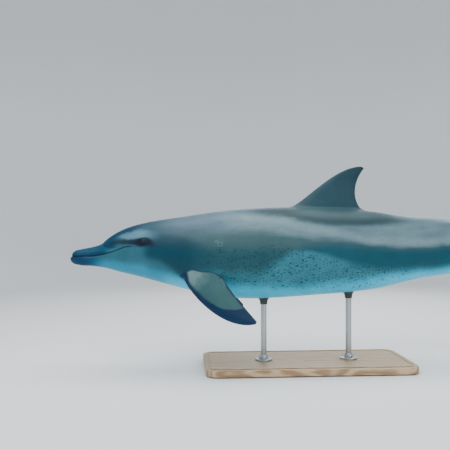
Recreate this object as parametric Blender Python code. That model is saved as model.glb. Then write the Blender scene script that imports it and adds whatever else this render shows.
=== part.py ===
"""A bottlenose dolphin as a life-size, still model on a plain display stand.

Metres, +Z up.  The beak points along -X and the back is up.  The origin is the centre
of the underside of the stand's base, midway between the two rods.

The body is a loft whose sections follow named stations along the body.  A distance
"along" is counted from the tip of the beak, and heights are counted from the body line,
a level line through the middle of the trunk.
"""

import bisect
import math

import bmesh
import bpy
from mathutils import Vector

# ---------------------------------------------------------------- driving dimensions

LENGTH = 2.430                 # beak tip to the notch between the flukes
BODY_LINE_HEIGHT = 0.560       # body line above the floor
ORIGIN_ALONG = 1.140           # beak tip to the stand's centre

CUT = 0.0003                   # gap where two nodes meet
AROUND = 32                    # points round a body section

BEAK_ROUND = 0.030             # length over which the beak's tip is rounded
UNDERBITE = 0.007              # lower jaw's lead on the upper one
UNDERBITE_FADE = 0.060         # distance along over which that lead is lost
UNDERBITE_BLEND = 0.15         # share of the section's height over which it passes from jaw to beak

NECK_ALONG = 0.462             # where the head meets the trunk
TAIL_ALONG = 1.620             # where the trunk meets the tail stock

# along, back, belly: the side outline (heights from the body line); half_width at the
# level "widest"; roof and keel: how full the section is above and below that level
# (2 is an ellipse, less is a ridge, more is boxy).
STATIONS = [
    # along   back   belly  half_width widest  roof  keel
    (0.030, 0.013, -0.055, 0.0285, -0.020, 2.2, 2.2),   # end of the rounded beak tip
    (0.060, 0.019, -0.061, 0.0310, -0.018, 2.2, 2.2),
    (0.095, 0.0255, -0.062, 0.0345, -0.015, 2.2, 2.3),  # middle of the beak
    (0.150, 0.042, -0.069, 0.0430, -0.011, 2.1, 2.3),   # foot of the melon
    (0.168, 0.059, -0.072, 0.0480, -0.009, 2.0, 2.2),
    (0.195, 0.080, -0.079, 0.0560, -0.006, 2.0, 2.2),
    (0.240, 0.106, -0.092, 0.0710, -0.003, 2.0, 2.1),   # front of the melon
    (0.300, 0.129, -0.107, 0.0940, 0.001, 2.0, 2.1),    # corner of the mouth
    (0.355, 0.143, -0.121, 0.1150, 0.005, 2.0, 2.1),    # eye
    (0.430, 0.157, -0.142, 0.1370, 0.005, 2.0, 2.1),    # nape
    (0.520, 0.170, -0.166, 0.1550, 0.000, 2.0, 2.1),    # shoulder
    (0.620, 0.186, -0.193, 0.1720, -0.008, 2.0, 2.1),
    (0.750, 0.204, -0.216, 0.1880, -0.014, 2.0, 2.1),   # chest
    (0.880, 0.214, -0.223, 0.1950, -0.014, 2.0, 2.1),   # deepest point
    (1.050, 0.221, -0.216, 0.1920, -0.006, 2.0, 2.1),
    (1.200, 0.220, -0.206, 0.1800, 0.000, 1.95, 2.1),   # under the dorsal fin
    (1.350, 0.213, -0.196, 0.1600, 0.006, 1.90, 2.05),
    (1.500, 0.196, -0.177, 0.1340, 0.012, 1.85, 2.0),
    (1.600, 0.181, -0.154, 0.1150, 0.016, 1.80, 1.95),  # vent
    (1.700, 0.171, -0.132, 0.0970, 0.022, 1.75, 1.85),
    (1.860, 0.167, -0.108, 0.0750, 0.032, 1.65, 1.75),
    (1.960, 0.161, -0.087, 0.0600, 0.040, 1.55, 1.6),   # tail stock
    (2.060, 0.147, -0.053, 0.0460, 0.050, 1.5, 1.5),
    (2.150, 0.128, -0.012, 0.0360, 0.058, 1.5, 1.5),
    (2.230, 0.106, 0.023, 0.0290, 0.064, 1.6, 1.6),     # root of the flukes
    (2.310, 0.087, 0.045, 0.0200, 0.066, 1.8, 1.8),
    (2.405, 0.074, 0.058, 0.0070, 0.066, 2.0, 2.0),     # end of the keel between the flukes
]

# The line of the mouth in side view, from the beak's tip to the corner.
MOUTH_LINE = [
    (-0.040, -0.016), (0.110, -0.014), (0.160, -0.006), (0.205, 0.007),
    (0.245, 0.022), (0.280, 0.032), (0.308, 0.031),
]
JAW_HINGE_FOOT = (0.345, -0.180)     # where the jaw's rear cut leaves the throat
MELON_CREASE = [(0.156, 0.140), (0.160, 0.034), (0.202, -0.040)]
HEAD_CUTTER_HALF_WIDTH = 0.200       # of the prisms that part the jaws, wider than the head

EYE_ALONG, EYE_HEIGHT = 0.355, 0.054
EYE_RADIUS = 0.0140
EYE_BULGE = 0.0035             # how far the eyeball stands out of the head

BLOWHOLE_ALONG = 0.378
BLOWHOLE_SIZE = (0.013, 0.019) # half length and half width of the plug
BLOWHOLE_DEPTH = 0.010

# Each fin lies between two cubic Bezier edges, given by their control points from root to
# tip.  Its thickness is given as (share of the way to the tip, thickness of the section).
FIN_LEVELS = [0.0, 0.08, 0.18, 0.30, 0.43, 0.56, 0.69, 0.80, 0.89, 0.95, 0.985, 1.0]
FIN_ROWS = 12                  # points from a fin's leading to its trailing edge
FIN_EDGE = 0.0016              # thickness of a fin's trailing edge
FIN_FOOT_SHARE = 0.02          # share of the edges that gives their direction at the root

# Dorsal fin: edges in the middle plane, as (along, height from the body line).
DORSAL_LEAD = [(1.050, 0.207), (1.178, 0.287), (1.290, 0.424), (1.415, 0.421)]
DORSAL_TRAIL = [(1.425, 0.203), (1.372, 0.240), (1.362, 0.335), (1.428, 0.413)]
DORSAL_THICKNESS = [(0.0, 0.060), (0.1, 0.050), (0.2, 0.038), (0.5, 0.024), (0.85, 0.011), (1.0, 0.006)]
DORSAL_FOOT = 0.030            # how far it runs down into the back before it is cut to it

# Flipper: root on the flank (along, side, height), direction out to the tip and direction
# back along the chord, for the right one; edges in its own plane, as (out, back).
FLIPPER_ROOT = (0.548, 0.122, -0.112)
FLIPPER_SPAN = (0.721, 0.440, -0.536)
FLIPPER_CHORD = (0.597, 0.000, 0.803)
FLIPPER_LEAD = [(-0.010, -0.006), (0.090, -0.055), (0.310, -0.080), (0.401, 0.030)]
FLIPPER_TRAIL = [(0.115, 0.118), (0.200, 0.078), (0.292, 0.064), (0.399, 0.042)]
FLIPPER_THICKNESS = [(0.0, 0.046), (0.12, 0.034), (0.5, 0.022), (0.85, 0.011), (1.0, 0.006)]
FLIPPER_FOOT = 0.035           # how far it runs into the flank before it is cut to it

# Flukes: edges seen from above, as (along, side), with the height of the blade's middle.
FLUKE_LEAD = [(2.205, CUT / 2), (2.262, 0.130), (2.352, 0.240), (2.472, 0.296)]
FLUKE_TRAIL = [(LENGTH, CUT / 2), (2.480, 0.070), (2.434, 0.190), (2.478, 0.294)]
FLUKE_HEIGHT = 0.066
FLUKE_DROOP = 0.020            # how far the tips hang below the root
FLUKE_THICKNESS = [(0.0, 0.040), (0.15, 0.032), (0.5, 0.019), (0.85, 0.009), (1.0, 0.005)]

STAND_BASE = (1.000, 0.440, 0.036)
STAND_BASE_CORNER = 0.060
STAND_BASE_EDGE = 0.004
ROD_RADIUS = 0.014
ROD_REACH = 0.210              # each rod's distance from the stand's centre
FLANGE_RADIUS, FLANGE_HEIGHT = 0.042, 0.009

BALL_SEGMENTS, BALL_RINGS = 16, 10
PLUG_SIDES = 20
ROD_SIDES = 24
FLANGE_SIDES = 32
BASE_CORNER_STEPS, BASE_EDGE_STEPS = 6, 2
FLAT_ANGLE = 50                # degrees above which an edge is drawn sharp
BASE_FLAT_ANGLE = 30

# Where the body's sections stand.
TIP_RINGS = 5                  # over the rounded beak tip
BEAK_RINGS_FROM, BEAK_RINGS_TO, BEAK_RINGS = 0.046, 0.146, 5
MELON_RINGS = [0.157, 0.168, 0.181]  # over the steep foot of the melon
CROWN_RINGS_FROM, CROWN_RINGS = 0.196, 12
TRUNK_RINGS = 17
TAIL_RINGS = 14


# ---------------------------------------------------------------- small tools

def row_point(along, side, height):
    """A point from its distance along the body, its side offset and its height."""
    return Vector((along - ORIGIN_ALONG, side, height + BODY_LINE_HEIGHT))


def smooth_step(low, high, value):
    """0 below low, 1 above high, and a smooth rise between them."""
    share = min(1.0, max(0.0, (value - low) / (high - low)))
    return share * share * (3 - 2 * share)


def slopes_of(places, values):
    """Slopes at the given places that make a curve with no overshoot."""
    spans = [b - a for a, b in zip(places, places[1:])]
    rises = [(b - a) / span for a, b, span in zip(values, values[1:], spans)]
    slopes = [rises[0]]
    for left, right, before, after in zip(rises, rises[1:], spans, spans[1:]):
        if left * right <= 0:
            slopes.append(0.0)
            continue
        near, far = 2 * after + before, after + 2 * before
        slopes.append((near + far) / (near / left + far / right))
    return slopes + [rises[-1]]


class SmoothCurve:
    """A smooth curve through a few (place, value) pairs."""

    def __init__(self, places, values):
        self.places, self.values = list(places), list(values)
        self.slopes = slopes_of(self.places, self.values)

    def __call__(self, place):
        place = min(max(place, self.places[0]), self.places[-1])
        i = min(bisect.bisect_right(self.places, place), len(self.places) - 1) - 1
        span = self.places[i + 1] - self.places[i]
        t = (place - self.places[i]) / span
        start, end = self.values[i], self.values[i + 1]
        rise_in, rise_out = self.slopes[i] * span, self.slopes[i + 1] * span
        return (
            start * (1 + 2 * t) * (1 - t) ** 2
            + rise_in * t * (1 - t) ** 2
            + end * t * t * (3 - 2 * t)
            + rise_out * t * t * (t - 1)
        )


def bezier(points, t):
    """The point at share t of a cubic Bezier curve."""
    a, b, c, d = (Vector(p) for p in points)
    u = 1 - t
    return a * u**3 + b * 3 * u * u * t + c * 3 * u * t * t + d * t**3


def material(name, colour, roughness, metallic=0.0):
    """A plain Principled BSDF material."""
    made = bpy.data.materials.new(name)
    made.use_nodes = True
    shader = made.node_tree.nodes["Principled BSDF"]
    shader.inputs["Base Color"].default_value = (*colour, 1.0)
    shader.inputs["Roughness"].default_value = roughness
    shader.inputs["Metallic"].default_value = metallic
    return made


def add_object(name, bm, finish, sharp_degrees=FLAT_ANGLE):
    """Turns a bmesh into a smooth-shaded object."""
    bmesh.ops.recalc_face_normals(bm, faces=bm.faces)
    mesh = bpy.data.meshes.new(name)
    bm.to_mesh(mesh)
    bm.free()
    mesh.materials.append(finish)
    mesh.shade_smooth()
    mesh.set_sharp_from_angle(angle=math.radians(sharp_degrees))
    made = bpy.data.objects.new(name, mesh)
    bpy.context.scene.collection.objects.link(made)
    return made


def as_cutter(obj):
    """Marks an object as a helper that only cuts others."""
    obj.hide_render = True
    obj.display_type = "WIRE"
    return obj


def boolean(obj, other, operation):
    """Adds an exact Boolean with the other object."""
    modifier = obj.modifiers.new(operation.title() + "_" + other.name, "BOOLEAN")
    modifier.operation = operation
    modifier.solver = "EXACT"
    modifier.object = other


def loft(rings):
    """A closed bmesh through rings of equally many points, with flat ends."""
    bm = bmesh.new()
    loops = [[bm.verts.new(point) for point in ring] for ring in rings]
    for first, second in zip(loops, loops[1:]):
        for i in range(len(first)):
            j = (i + 1) % len(first)
            bm.faces.new((first[i], first[j], second[j], second[i]))
    bm.faces.new(list(reversed(loops[0])))
    bm.faces.new(loops[-1])
    return bm


# ---------------------------------------------------------------- body sections

PLACES = [station[0] for station in STATIONS]
BACK, BELLY, HALF_WIDTH, WIDEST, ROOF, KEEL = (
    SmoothCurve(PLACES, [station[column] for station in STATIONS])
    for column in range(1, 7)
)


def section_point(along, turn, inflate=0.0):
    """A point of the body's skin. turn runs from 0 at the back to pi at the belly, and on
    round the other side to 2 pi."""
    rounding = 1.0
    if along < BEAK_ROUND:
        rounding = math.sqrt(max(0.0, 1 - (1 - along / BEAK_ROUND) ** 2))
    across, up = math.sin(turn), math.cos(turn)
    fullness = ROOF(along) if up > 0 else KEEL(along)
    reach = (BACK if up > 0 else BELLY)(along) - WIDEST(along)
    side = HALF_WIDTH(along) * abs(across) ** (2 / fullness) * rounding + inflate * abs(across)
    height = reach * abs(up) ** (2 / fullness) * rounding + math.copysign(inflate * abs(up), up)
    blend = smooth_step(-UNDERBITE_BLEND, UNDERBITE_BLEND, up)
    lead = UNDERBITE * (1 - smooth_step(0.0, UNDERBITE_FADE, along)) * blend
    return row_point(along + lead, math.copysign(side, -across), WIDEST(along) + height)


def section(along, inflate=0.0):
    """A whole body section as a ring of points."""
    return [
        section_point(along, 2 * math.pi * i / AROUND, inflate) for i in range(AROUND)
    ]


def stops(start, end, count):
    """Evenly spaced places from start to end, both included."""
    return [start + (end - start) * i / count for i in range(count + 1)]


def body_length(name, places, finish, inflate=0.0):
    """One length of the body between flat cuts."""
    return add_object(name, loft([section(p, inflate) for p in places]), finish)


def head_prism(name, outline):
    """A cutter with the given side outline, right across the head."""
    half_width = HEAD_CUTTER_HALF_WIDTH
    bm = bmesh.new()
    face = bm.faces.new([bm.verts.new(row_point(a, -half_width, h)) for a, h in outline])
    swept = bmesh.ops.extrude_face_region(bm, geom=[face])["geom"]
    bmesh.ops.translate(
        bm,
        vec=(0, 2 * half_width, 0),
        verts=[v for v in swept if isinstance(v, bmesh.types.BMVert)],
    )
    return as_cutter(add_object(name, bm, SKIN_PALE))


# ---------------------------------------------------------------- fins

def foil(chord_share):
    """Half thickness of a fin's section, from 0 to 1, at a share of its chord."""
    c = chord_share
    return 10 * (0.2969 * math.sqrt(c) - 0.1260 * c - 0.3516 * c**2 + 0.2843 * c**3 - 0.1036 * c**4)


def fin_section(lead, trail, normal, thickness):
    """A ring of points round a fin between its leading and trailing points."""
    shares = [0.5 * (1 - math.cos(math.pi * i / FIN_ROWS)) for i in range(FIN_ROWS + 1)]
    upper, lower = [], []
    for share in shares:
        middle = lead.lerp(trail, share)
        half = (foil(share) * thickness + FIN_EDGE * share) / 2
        upper.append(middle + normal * half)
        lower.append(middle - normal * half)
    return upper + lower[-1:0:-1]


def fin_loft(lead, trail, normal, thickness, foot=0.0):
    """A fin between two Bezier edges, flat across its normal; its foot runs on past the root."""
    thickness_at = SmoothCurve(*zip(*thickness))
    rings = [
        fin_section(bezier(lead, level), bezier(trail, level), normal, thickness_at(level))
        for level in FIN_LEVELS
    ]
    if foot:
        front, rear = bezier(lead, 0), bezier(trail, 0)
        inward = front - bezier(lead, FIN_FOOT_SHARE) + rear - bezier(trail, FIN_FOOT_SHARE)
        shift = inward.normalized() * foot
        rings.insert(0, fin_section(front + shift, rear + shift, normal, thickness_at(0)))
    return loft(rings)


def dorsal_fin(finish):
    """The dorsal fin, its foot cut to the back."""
    def lift(outline):
        return [row_point(a, 0.0, h) for a, h in outline]

    bm = fin_loft(
        lift(DORSAL_LEAD), lift(DORSAL_TRAIL), Vector((0, 1, 0)), DORSAL_THICKNESS, DORSAL_FOOT
    )
    return add_object("dorsal_fin", bm, finish)


def flipper(name, side, finish):
    """One pectoral flipper, its foot cut to the flank; side is -1 for the left one."""
    def turned(direction):
        return (Vector(direction) * Vector((1, side, 1))).normalized()

    along, out, height = FLIPPER_ROOT
    root, span, chord = row_point(along, out * side, height), turned(FLIPPER_SPAN), turned(FLIPPER_CHORD)

    def place(outline):
        return [root + span * reach + chord * back for reach, back in outline]

    bm = fin_loft(
        place(FLIPPER_LEAD), place(FLIPPER_TRAIL), span.cross(chord).normalized(),
        FLIPPER_THICKNESS, FLIPPER_FOOT,
    )
    return add_object(name, bm, finish)


def fluke(name, side, finish):
    """One tail fluke, cut off along the tail stock."""
    def place(outline):
        return [
            row_point(a, s * side, FLUKE_HEIGHT - FLUKE_DROOP * (s / outline[-1][1]) ** 2)
            for a, s in outline
        ]

    bm = fin_loft(place(FLUKE_LEAD), place(FLUKE_TRAIL), Vector((0, 0, 1)), FLUKE_THICKNESS)
    return add_object(name, bm, finish)


# ---------------------------------------------------------------- head details

def shifted(outline, along, height):
    """An outline moved in side view."""
    return [(a + along, h + height) for a, h in outline]


def jaw_outline(gap):
    """Side outline of everything under the mouth line, grown by gap."""
    line = shifted(MOUTH_LINE, 0.0, gap)
    corner = (MOUTH_LINE[-1][0] + gap, MOUTH_LINE[-1][1] + gap)
    foot = (JAW_HINGE_FOOT[0] + gap, JAW_HINGE_FOOT[1])
    return line[:-1] + [corner, foot, (MOUTH_LINE[0][0], JAW_HINGE_FOOT[1])]


def beak_outline(gap):
    """Side outline of everything in front of the melon's crease, grown by gap."""
    crease = shifted(MELON_CREASE, gap, 0.0)
    front = MOUTH_LINE[0][0]
    return crease + [(front, crease[-1][1]), (front, crease[0][1])]


def eye_centre(side):
    """Centre of an eyeball, set into the head so that it stands out by the bulge."""
    up = (EYE_HEIGHT - WIDEST(EYE_ALONG)) / (BACK(EYE_ALONG) - WIDEST(EYE_ALONG))
    surface = HALF_WIDTH(EYE_ALONG) * (1 - up ** ROOF(EYE_ALONG)) ** (1 / ROOF(EYE_ALONG))
    return row_point(EYE_ALONG, side * (surface - EYE_RADIUS + EYE_BULGE), EYE_HEIGHT)


def ball(name, centre, radius, finish):
    """A round ball, its poles up and down."""
    bm = bmesh.new()
    bmesh.ops.create_uvsphere(bm, u_segments=BALL_SEGMENTS, v_segments=BALL_RINGS, radius=radius)
    bmesh.ops.translate(bm, vec=centre, verts=bm.verts)
    return add_object(name, bm, finish)


def blowhole_post(name, grow, finish):
    """An oval post down into the head under the blowhole."""
    bm = bmesh.new()
    bmesh.ops.create_cone(
        bm, cap_ends=True, segments=PLUG_SIDES, radius1=1.0, radius2=1.0,
        depth=2 * (BLOWHOLE_DEPTH + grow),
    )
    half_length, half_width = BLOWHOLE_SIZE
    bmesh.ops.scale(bm, vec=(half_length + grow, half_width + grow, 1), verts=bm.verts)
    bmesh.ops.translate(
        bm, vec=row_point(BLOWHOLE_ALONG, 0, BACK(BLOWHOLE_ALONG)), verts=bm.verts
    )
    return add_object(name, bm, finish)


# ---------------------------------------------------------------- stand

def stand_base(finish):
    """A flat slab with round corners and softened edges, its underside on the floor."""
    length, width, height = STAND_BASE
    bm = bmesh.new()
    bmesh.ops.create_cube(bm, size=1.0)
    bmesh.ops.scale(bm, vec=(length, width, height), verts=bm.verts)
    bmesh.ops.translate(bm, vec=(0, 0, height / 2), verts=bm.verts)
    upright = [e for e in bm.edges if abs(e.verts[0].co.z - e.verts[1].co.z) > height / 2]
    bmesh.ops.bevel(
        bm, geom=upright, offset=STAND_BASE_CORNER, segments=BASE_CORNER_STEPS, profile=0.5,
        affect="EDGES",
    )
    rim = [e for e in bm.edges if min(v.co.z for v in e.verts) > height - 1e-6]
    bmesh.ops.bevel(
        bm, geom=rim, offset=STAND_BASE_EDGE, segments=BASE_EDGE_STEPS, profile=0.5, affect="EDGES"
    )
    return add_object("stand_base", bm, finish, sharp_degrees=BASE_FLAT_ANGLE)


def upright_cylinder(name, along, radius, bottom, top, finish, sides):
    """A cylinder on the middle plane between two heights above the floor."""
    bm = bmesh.new()
    bmesh.ops.create_cone(
        bm, cap_ends=True, segments=sides, radius1=radius, radius2=radius, depth=top - bottom
    )
    bmesh.ops.translate(
        bm, vec=(along - ORIGIN_ALONG, 0, (bottom + top) / 2), verts=bm.verts
    )
    return add_object(name, bm, finish)


def stand_rod(place_name, along, belly_cutter, finish):
    """A rod up to the belly, and the flange that holds it to the base."""
    flange_foot = STAND_BASE[2] + CUT
    flange_top = flange_foot + FLANGE_HEIGHT
    upright_cylinder(
        "stand_flange_" + place_name, along, FLANGE_RADIUS, flange_foot, flange_top, finish,
        FLANGE_SIDES,
    )
    into_belly = BODY_LINE_HEIGHT + BELLY(along) + 2 * ROD_RADIUS
    rod = upright_cylinder(
        "stand_rod_" + place_name, along, ROD_RADIUS, flange_top + CUT, into_belly, finish,
        ROD_SIDES,
    )
    boolean(rod, belly_cutter, "DIFFERENCE")


# ---------------------------------------------------------------- assembly

for old in list(bpy.data.objects):
    bpy.data.objects.remove(old)

SKIN_DARK = material("skin_dark", (0.085, 0.135, 0.155), 0.42)
SKIN_GREY = material("skin_grey", (0.155, 0.225, 0.245), 0.42)
SKIN_PALE = material("skin_pale", (0.480, 0.600, 0.610), 0.45)
EYE = material("eye", (0.010, 0.009, 0.009), 0.08)
STAND_BOARD = material("stand_board", (0.620, 0.620, 0.600), 0.45)
STAND_STEEL = material("stand_steel", (0.560, 0.570, 0.580), 0.28, metallic=1.0)

TIP_PLACES = [BEAK_ROUND * (1 - math.cos(math.pi / 2 * i / TIP_RINGS)) for i in range(1, TIP_RINGS + 1)]
BEAK_PLACES = stops(BEAK_RINGS_FROM, BEAK_RINGS_TO, BEAK_RINGS)
CROWN_PLACES = stops(CROWN_RINGS_FROM, NECK_ALONG, CROWN_RINGS)
HEAD_PLACES = TIP_PLACES + BEAK_PLACES + MELON_RINGS + CROWN_PLACES
TRUNK_PLACES = stops(NECK_ALONG + CUT, TAIL_ALONG, TRUNK_RINGS)
TAIL_PLACES = stops(TAIL_ALONG + CUT, PLACES[-1], TAIL_RINGS)

trunk_cutter = as_cutter(body_length("trunk_cutter", TRUNK_PLACES, SKIN_GREY, CUT))
tail_cutter = as_cutter(
    body_length("tail_cutter", TAIL_PLACES[:-1] + [PLACES[-1] + CUT], SKIN_GREY, CUT)
)

jaw_space = head_prism("jaw_space", jaw_outline(0.0))
jaw_gap = head_prism("jaw_gap", jaw_outline(CUT))
beak_space = head_prism("beak_space", beak_outline(0.0))
beak_gap = head_prism("beak_gap", beak_outline(CUT))

lower_jaw = body_length("lower_jaw", HEAD_PLACES, SKIN_PALE)
boolean(lower_jaw, jaw_space, "INTERSECT")

upper_beak = body_length("upper_beak", HEAD_PLACES, SKIN_DARK)
boolean(upper_beak, jaw_gap, "DIFFERENCE")
boolean(upper_beak, beak_space, "INTERSECT")

head = body_length("head", HEAD_PLACES, SKIN_GREY)
boolean(head, jaw_gap, "DIFFERENCE")
boolean(head, beak_gap, "DIFFERENCE")

for side_name, side in (("left", -1), ("right", 1)):
    centre = eye_centre(side)
    ball("eye_" + side_name, centre, EYE_RADIUS, EYE)
    socket = as_cutter(ball("socket_" + side_name, centre, EYE_RADIUS + CUT, EYE))
    boolean(head, socket, "DIFFERENCE")

blowhole_plug = body_length("blowhole_plug", HEAD_PLACES, SKIN_DARK)
boolean(blowhole_plug, as_cutter(blowhole_post("plug_space", 0.0, SKIN_DARK)), "INTERSECT")
boolean(head, as_cutter(blowhole_post("plug_gap", CUT, SKIN_DARK)), "DIFFERENCE")

body_length("trunk", TRUNK_PLACES, SKIN_GREY)
body_length("tail_stock", TAIL_PLACES, SKIN_GREY)

boolean(dorsal_fin(SKIN_DARK), trunk_cutter, "DIFFERENCE")
for side_name, side in (("left", -1), ("right", 1)):
    boolean(flipper("flipper_" + side_name, side, SKIN_DARK), trunk_cutter, "DIFFERENCE")
    boolean(fluke("fluke_" + side_name, side, SKIN_DARK), tail_cutter, "DIFFERENCE")

stand_base(STAND_BOARD)
stand_rod("front", ORIGIN_ALONG - ROD_REACH, trunk_cutter, STAND_STEEL)
stand_rod("rear", ORIGIN_ALONG + ROD_REACH, trunk_cutter, STAND_STEEL)
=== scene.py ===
"""The looks of a life-size bottlenose dolphin model on a plain display stand.

One skin without a seam stands for all of the animal's flesh.  It is modelled as a coarse
cage of quads: a grid wrapped round the body's sections, whose loops follow the mouth, with
fins, eyelids and blowhole drawn out of patches of its faces.  The cage is subdivided, and
folds are pressed into the fine mesh.  Eyes and stand are pieces of their own.

Metres, +Z up.  A distance "along" is counted from the tip of the beak, and heights are
counted from the body line, a level line through the middle of the trunk.
"""

import bisect
import logging
import math
from collections.abc import Callable, Sequence
from dataclasses import dataclass, field
from enum import Enum
from typing import ClassVar

import bmesh
import bpy
import numpy as np
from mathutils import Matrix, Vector


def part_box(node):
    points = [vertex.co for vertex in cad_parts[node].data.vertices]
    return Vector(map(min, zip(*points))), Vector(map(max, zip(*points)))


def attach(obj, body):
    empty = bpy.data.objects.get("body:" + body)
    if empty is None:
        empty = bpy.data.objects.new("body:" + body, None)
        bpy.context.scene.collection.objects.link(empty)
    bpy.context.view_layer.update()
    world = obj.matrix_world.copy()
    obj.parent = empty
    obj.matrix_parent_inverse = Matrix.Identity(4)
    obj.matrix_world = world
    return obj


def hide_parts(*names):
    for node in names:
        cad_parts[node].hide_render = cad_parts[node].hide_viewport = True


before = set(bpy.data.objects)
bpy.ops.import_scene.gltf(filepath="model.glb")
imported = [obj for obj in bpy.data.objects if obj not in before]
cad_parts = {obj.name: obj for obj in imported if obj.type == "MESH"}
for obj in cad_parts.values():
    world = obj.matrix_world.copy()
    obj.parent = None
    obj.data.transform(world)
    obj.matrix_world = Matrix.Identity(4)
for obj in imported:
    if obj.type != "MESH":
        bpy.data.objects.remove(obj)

LOG = logging.getLogger("dolphin")
BMesh = bmesh.types.BMesh
BMFace = bmesh.types.BMFace
Material = bpy.types.Material
Pair = tuple[float, float]
Pairs = tuple[Pair, ...]
Triple = tuple[float, float, float]
Colour = tuple[float, float, float, float]
Tone = tuple[int, int, int]


class Side(Enum):
    """A side of the animal."""

    LEFT = "left"
    RIGHT = "right"

    @property
    def mirror(self) -> int:
        """1 for the side that is modelled, -1 for its mirror image."""
        return 1 if self is Side.LEFT else -1


class RodPlace(Enum):
    """Where a rod of the stand is."""

    FRONT = "front"
    REAR = "rear"


# ------------------------------------------------------------------ curves and sections


def smooth_step(low: float, high: float, value: float) -> float:
    """Rises smoothly from 0 at low to 1 at high.

    Args:
        low: where the rise starts.
        high: where it ends.
        value: the place asked for.

    Returns:
        The share from 0 to 1.
    """
    share = min(1.0, max(0.0, (value - low) / (high - low)))
    return share * share * (3 - 2 * share)


def mixed(first: float, second: float, share: float) -> float:
    """A value between two others, at the given share from the first to the second."""
    return first + (second - first) * share


class SmoothCurve:
    """A smooth curve through a few (place, value) pairs, with no overshoot between them."""

    def __init__(self, places: Sequence[float], values: Sequence[float]) -> None:
        """Works out the slopes at the places.

        Args:
            places: rising places.
            values: the curve's value at each place.
        """
        self.places = list(places)
        self.values = list(values)
        spans = [b - a for a, b in zip(self.places, self.places[1:])]
        rises = [(b - a) / span for a, b, span in zip(self.values, self.values[1:], spans)]
        self.slopes = [rises[0]]
        for left, right, before, after in zip(rises, rises[1:], spans, spans[1:]):
            near, far = 2 * after + before, after + 2 * before
            steady = left * right > 0
            self.slopes.append((near + far) / (near / left + far / right) if steady else 0.0)
        self.slopes.append(rises[-1])

    def __call__(self, place: float) -> float:
        """The curve's value at a place; past the ends it keeps the end's value.

        Args:
            place: where the value is asked for.

        Returns:
            The value.
        """
        place = min(max(place, self.places[0]), self.places[-1])
        i = min(bisect.bisect_right(self.places, place), len(self.places) - 1) - 1
        span = self.places[i + 1] - self.places[i]
        t = (place - self.places[i]) / span
        start, end = self.values[i], self.values[i + 1]
        rise_in, rise_out = self.slopes[i] * span, self.slopes[i + 1] * span
        return (
            start * (1 + 2 * t) * (1 - t) ** 2
            + rise_in * t * (1 - t) ** 2
            + end * t * t * (3 - 2 * t)
            + rise_out * t * t * (t - 1)
        )


def bezier(points: Sequence[Vector], t: float) -> Vector:
    """The point at share t of a cubic Bezier curve through four control points.

    Args:
        points: its four control points.
        t: the share of the way.

    Returns:
        The point.
    """
    a, b, c, d = points
    u = 1 - t
    return a * u**3 + b * 3 * u * u * t + c * 3 * u * t * t + d * t**3


@dataclass(frozen=True)
class Station:
    """One section of the body.

    back, belly and widest are heights; roof and keel say how full the section is above and
    below its widest level: 2 is an ellipse, less is a ridge, more is boxy.
    """

    along: float
    back: float
    belly: float
    half_width: float
    widest: float
    roof: float
    keel: float


BODY_STATIONS = (
    Station(0.030, 0.013, -0.055, 0.0285, -0.020, 2.2, 2.2),   # end of the rounded beak tip
    Station(0.060, 0.019, -0.061, 0.0310, -0.018, 2.2, 2.2),
    Station(0.095, 0.0255, -0.062, 0.0345, -0.015, 2.2, 2.3),  # middle of the beak
    Station(0.150, 0.042, -0.069, 0.0430, -0.011, 2.1, 2.3),   # foot of the melon
    Station(0.168, 0.059, -0.072, 0.0480, -0.009, 2.0, 2.2),
    Station(0.195, 0.080, -0.079, 0.0560, -0.006, 2.0, 2.2),
    Station(0.240, 0.106, -0.092, 0.0710, -0.003, 2.0, 2.1),   # front of the melon
    Station(0.300, 0.129, -0.107, 0.0940, 0.001, 2.0, 2.1),    # corner of the mouth
    Station(0.355, 0.143, -0.121, 0.1150, 0.005, 2.0, 2.1),    # eye
    Station(0.430, 0.157, -0.142, 0.1370, 0.005, 2.0, 2.1),    # nape
    Station(0.520, 0.170, -0.166, 0.1550, 0.000, 2.0, 2.1),    # shoulder
    Station(0.620, 0.186, -0.193, 0.1720, -0.008, 2.0, 2.1),
    Station(0.750, 0.204, -0.216, 0.1880, -0.014, 2.0, 2.1),   # chest
    Station(0.880, 0.214, -0.223, 0.1950, -0.014, 2.0, 2.1),   # deepest point
    Station(1.050, 0.221, -0.216, 0.1920, -0.006, 2.0, 2.1),
    Station(1.200, 0.220, -0.206, 0.1800, 0.000, 1.95, 2.1),   # under the dorsal fin
    Station(1.350, 0.213, -0.196, 0.1600, 0.006, 1.90, 2.05),
    Station(1.500, 0.196, -0.177, 0.1340, 0.012, 1.85, 2.0),
    Station(1.600, 0.181, -0.154, 0.1150, 0.016, 1.80, 1.95),  # vent
    Station(1.700, 0.171, -0.132, 0.0970, 0.022, 1.75, 1.85),
    Station(1.860, 0.167, -0.108, 0.0750, 0.032, 1.65, 1.75),
    Station(1.960, 0.161, -0.087, 0.0600, 0.040, 1.55, 1.6),   # tail stock
    Station(2.060, 0.147, -0.053, 0.0460, 0.050, 1.5, 1.5),
    Station(2.150, 0.128, -0.012, 0.0360, 0.058, 1.5, 1.5),
    Station(2.230, 0.106, 0.023, 0.0290, 0.064, 1.6, 1.6),     # root of the flukes
    Station(2.310, 0.087, 0.045, 0.0200, 0.066, 1.8, 1.8),
    Station(2.405, 0.074, 0.058, 0.0075, 0.066, 2.0, 2.0),     # end of the keel
    Station(2.426, 0.070, 0.062, 0.0035, 0.066, 2.0, 2.0),     # notch between the flukes
)


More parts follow.
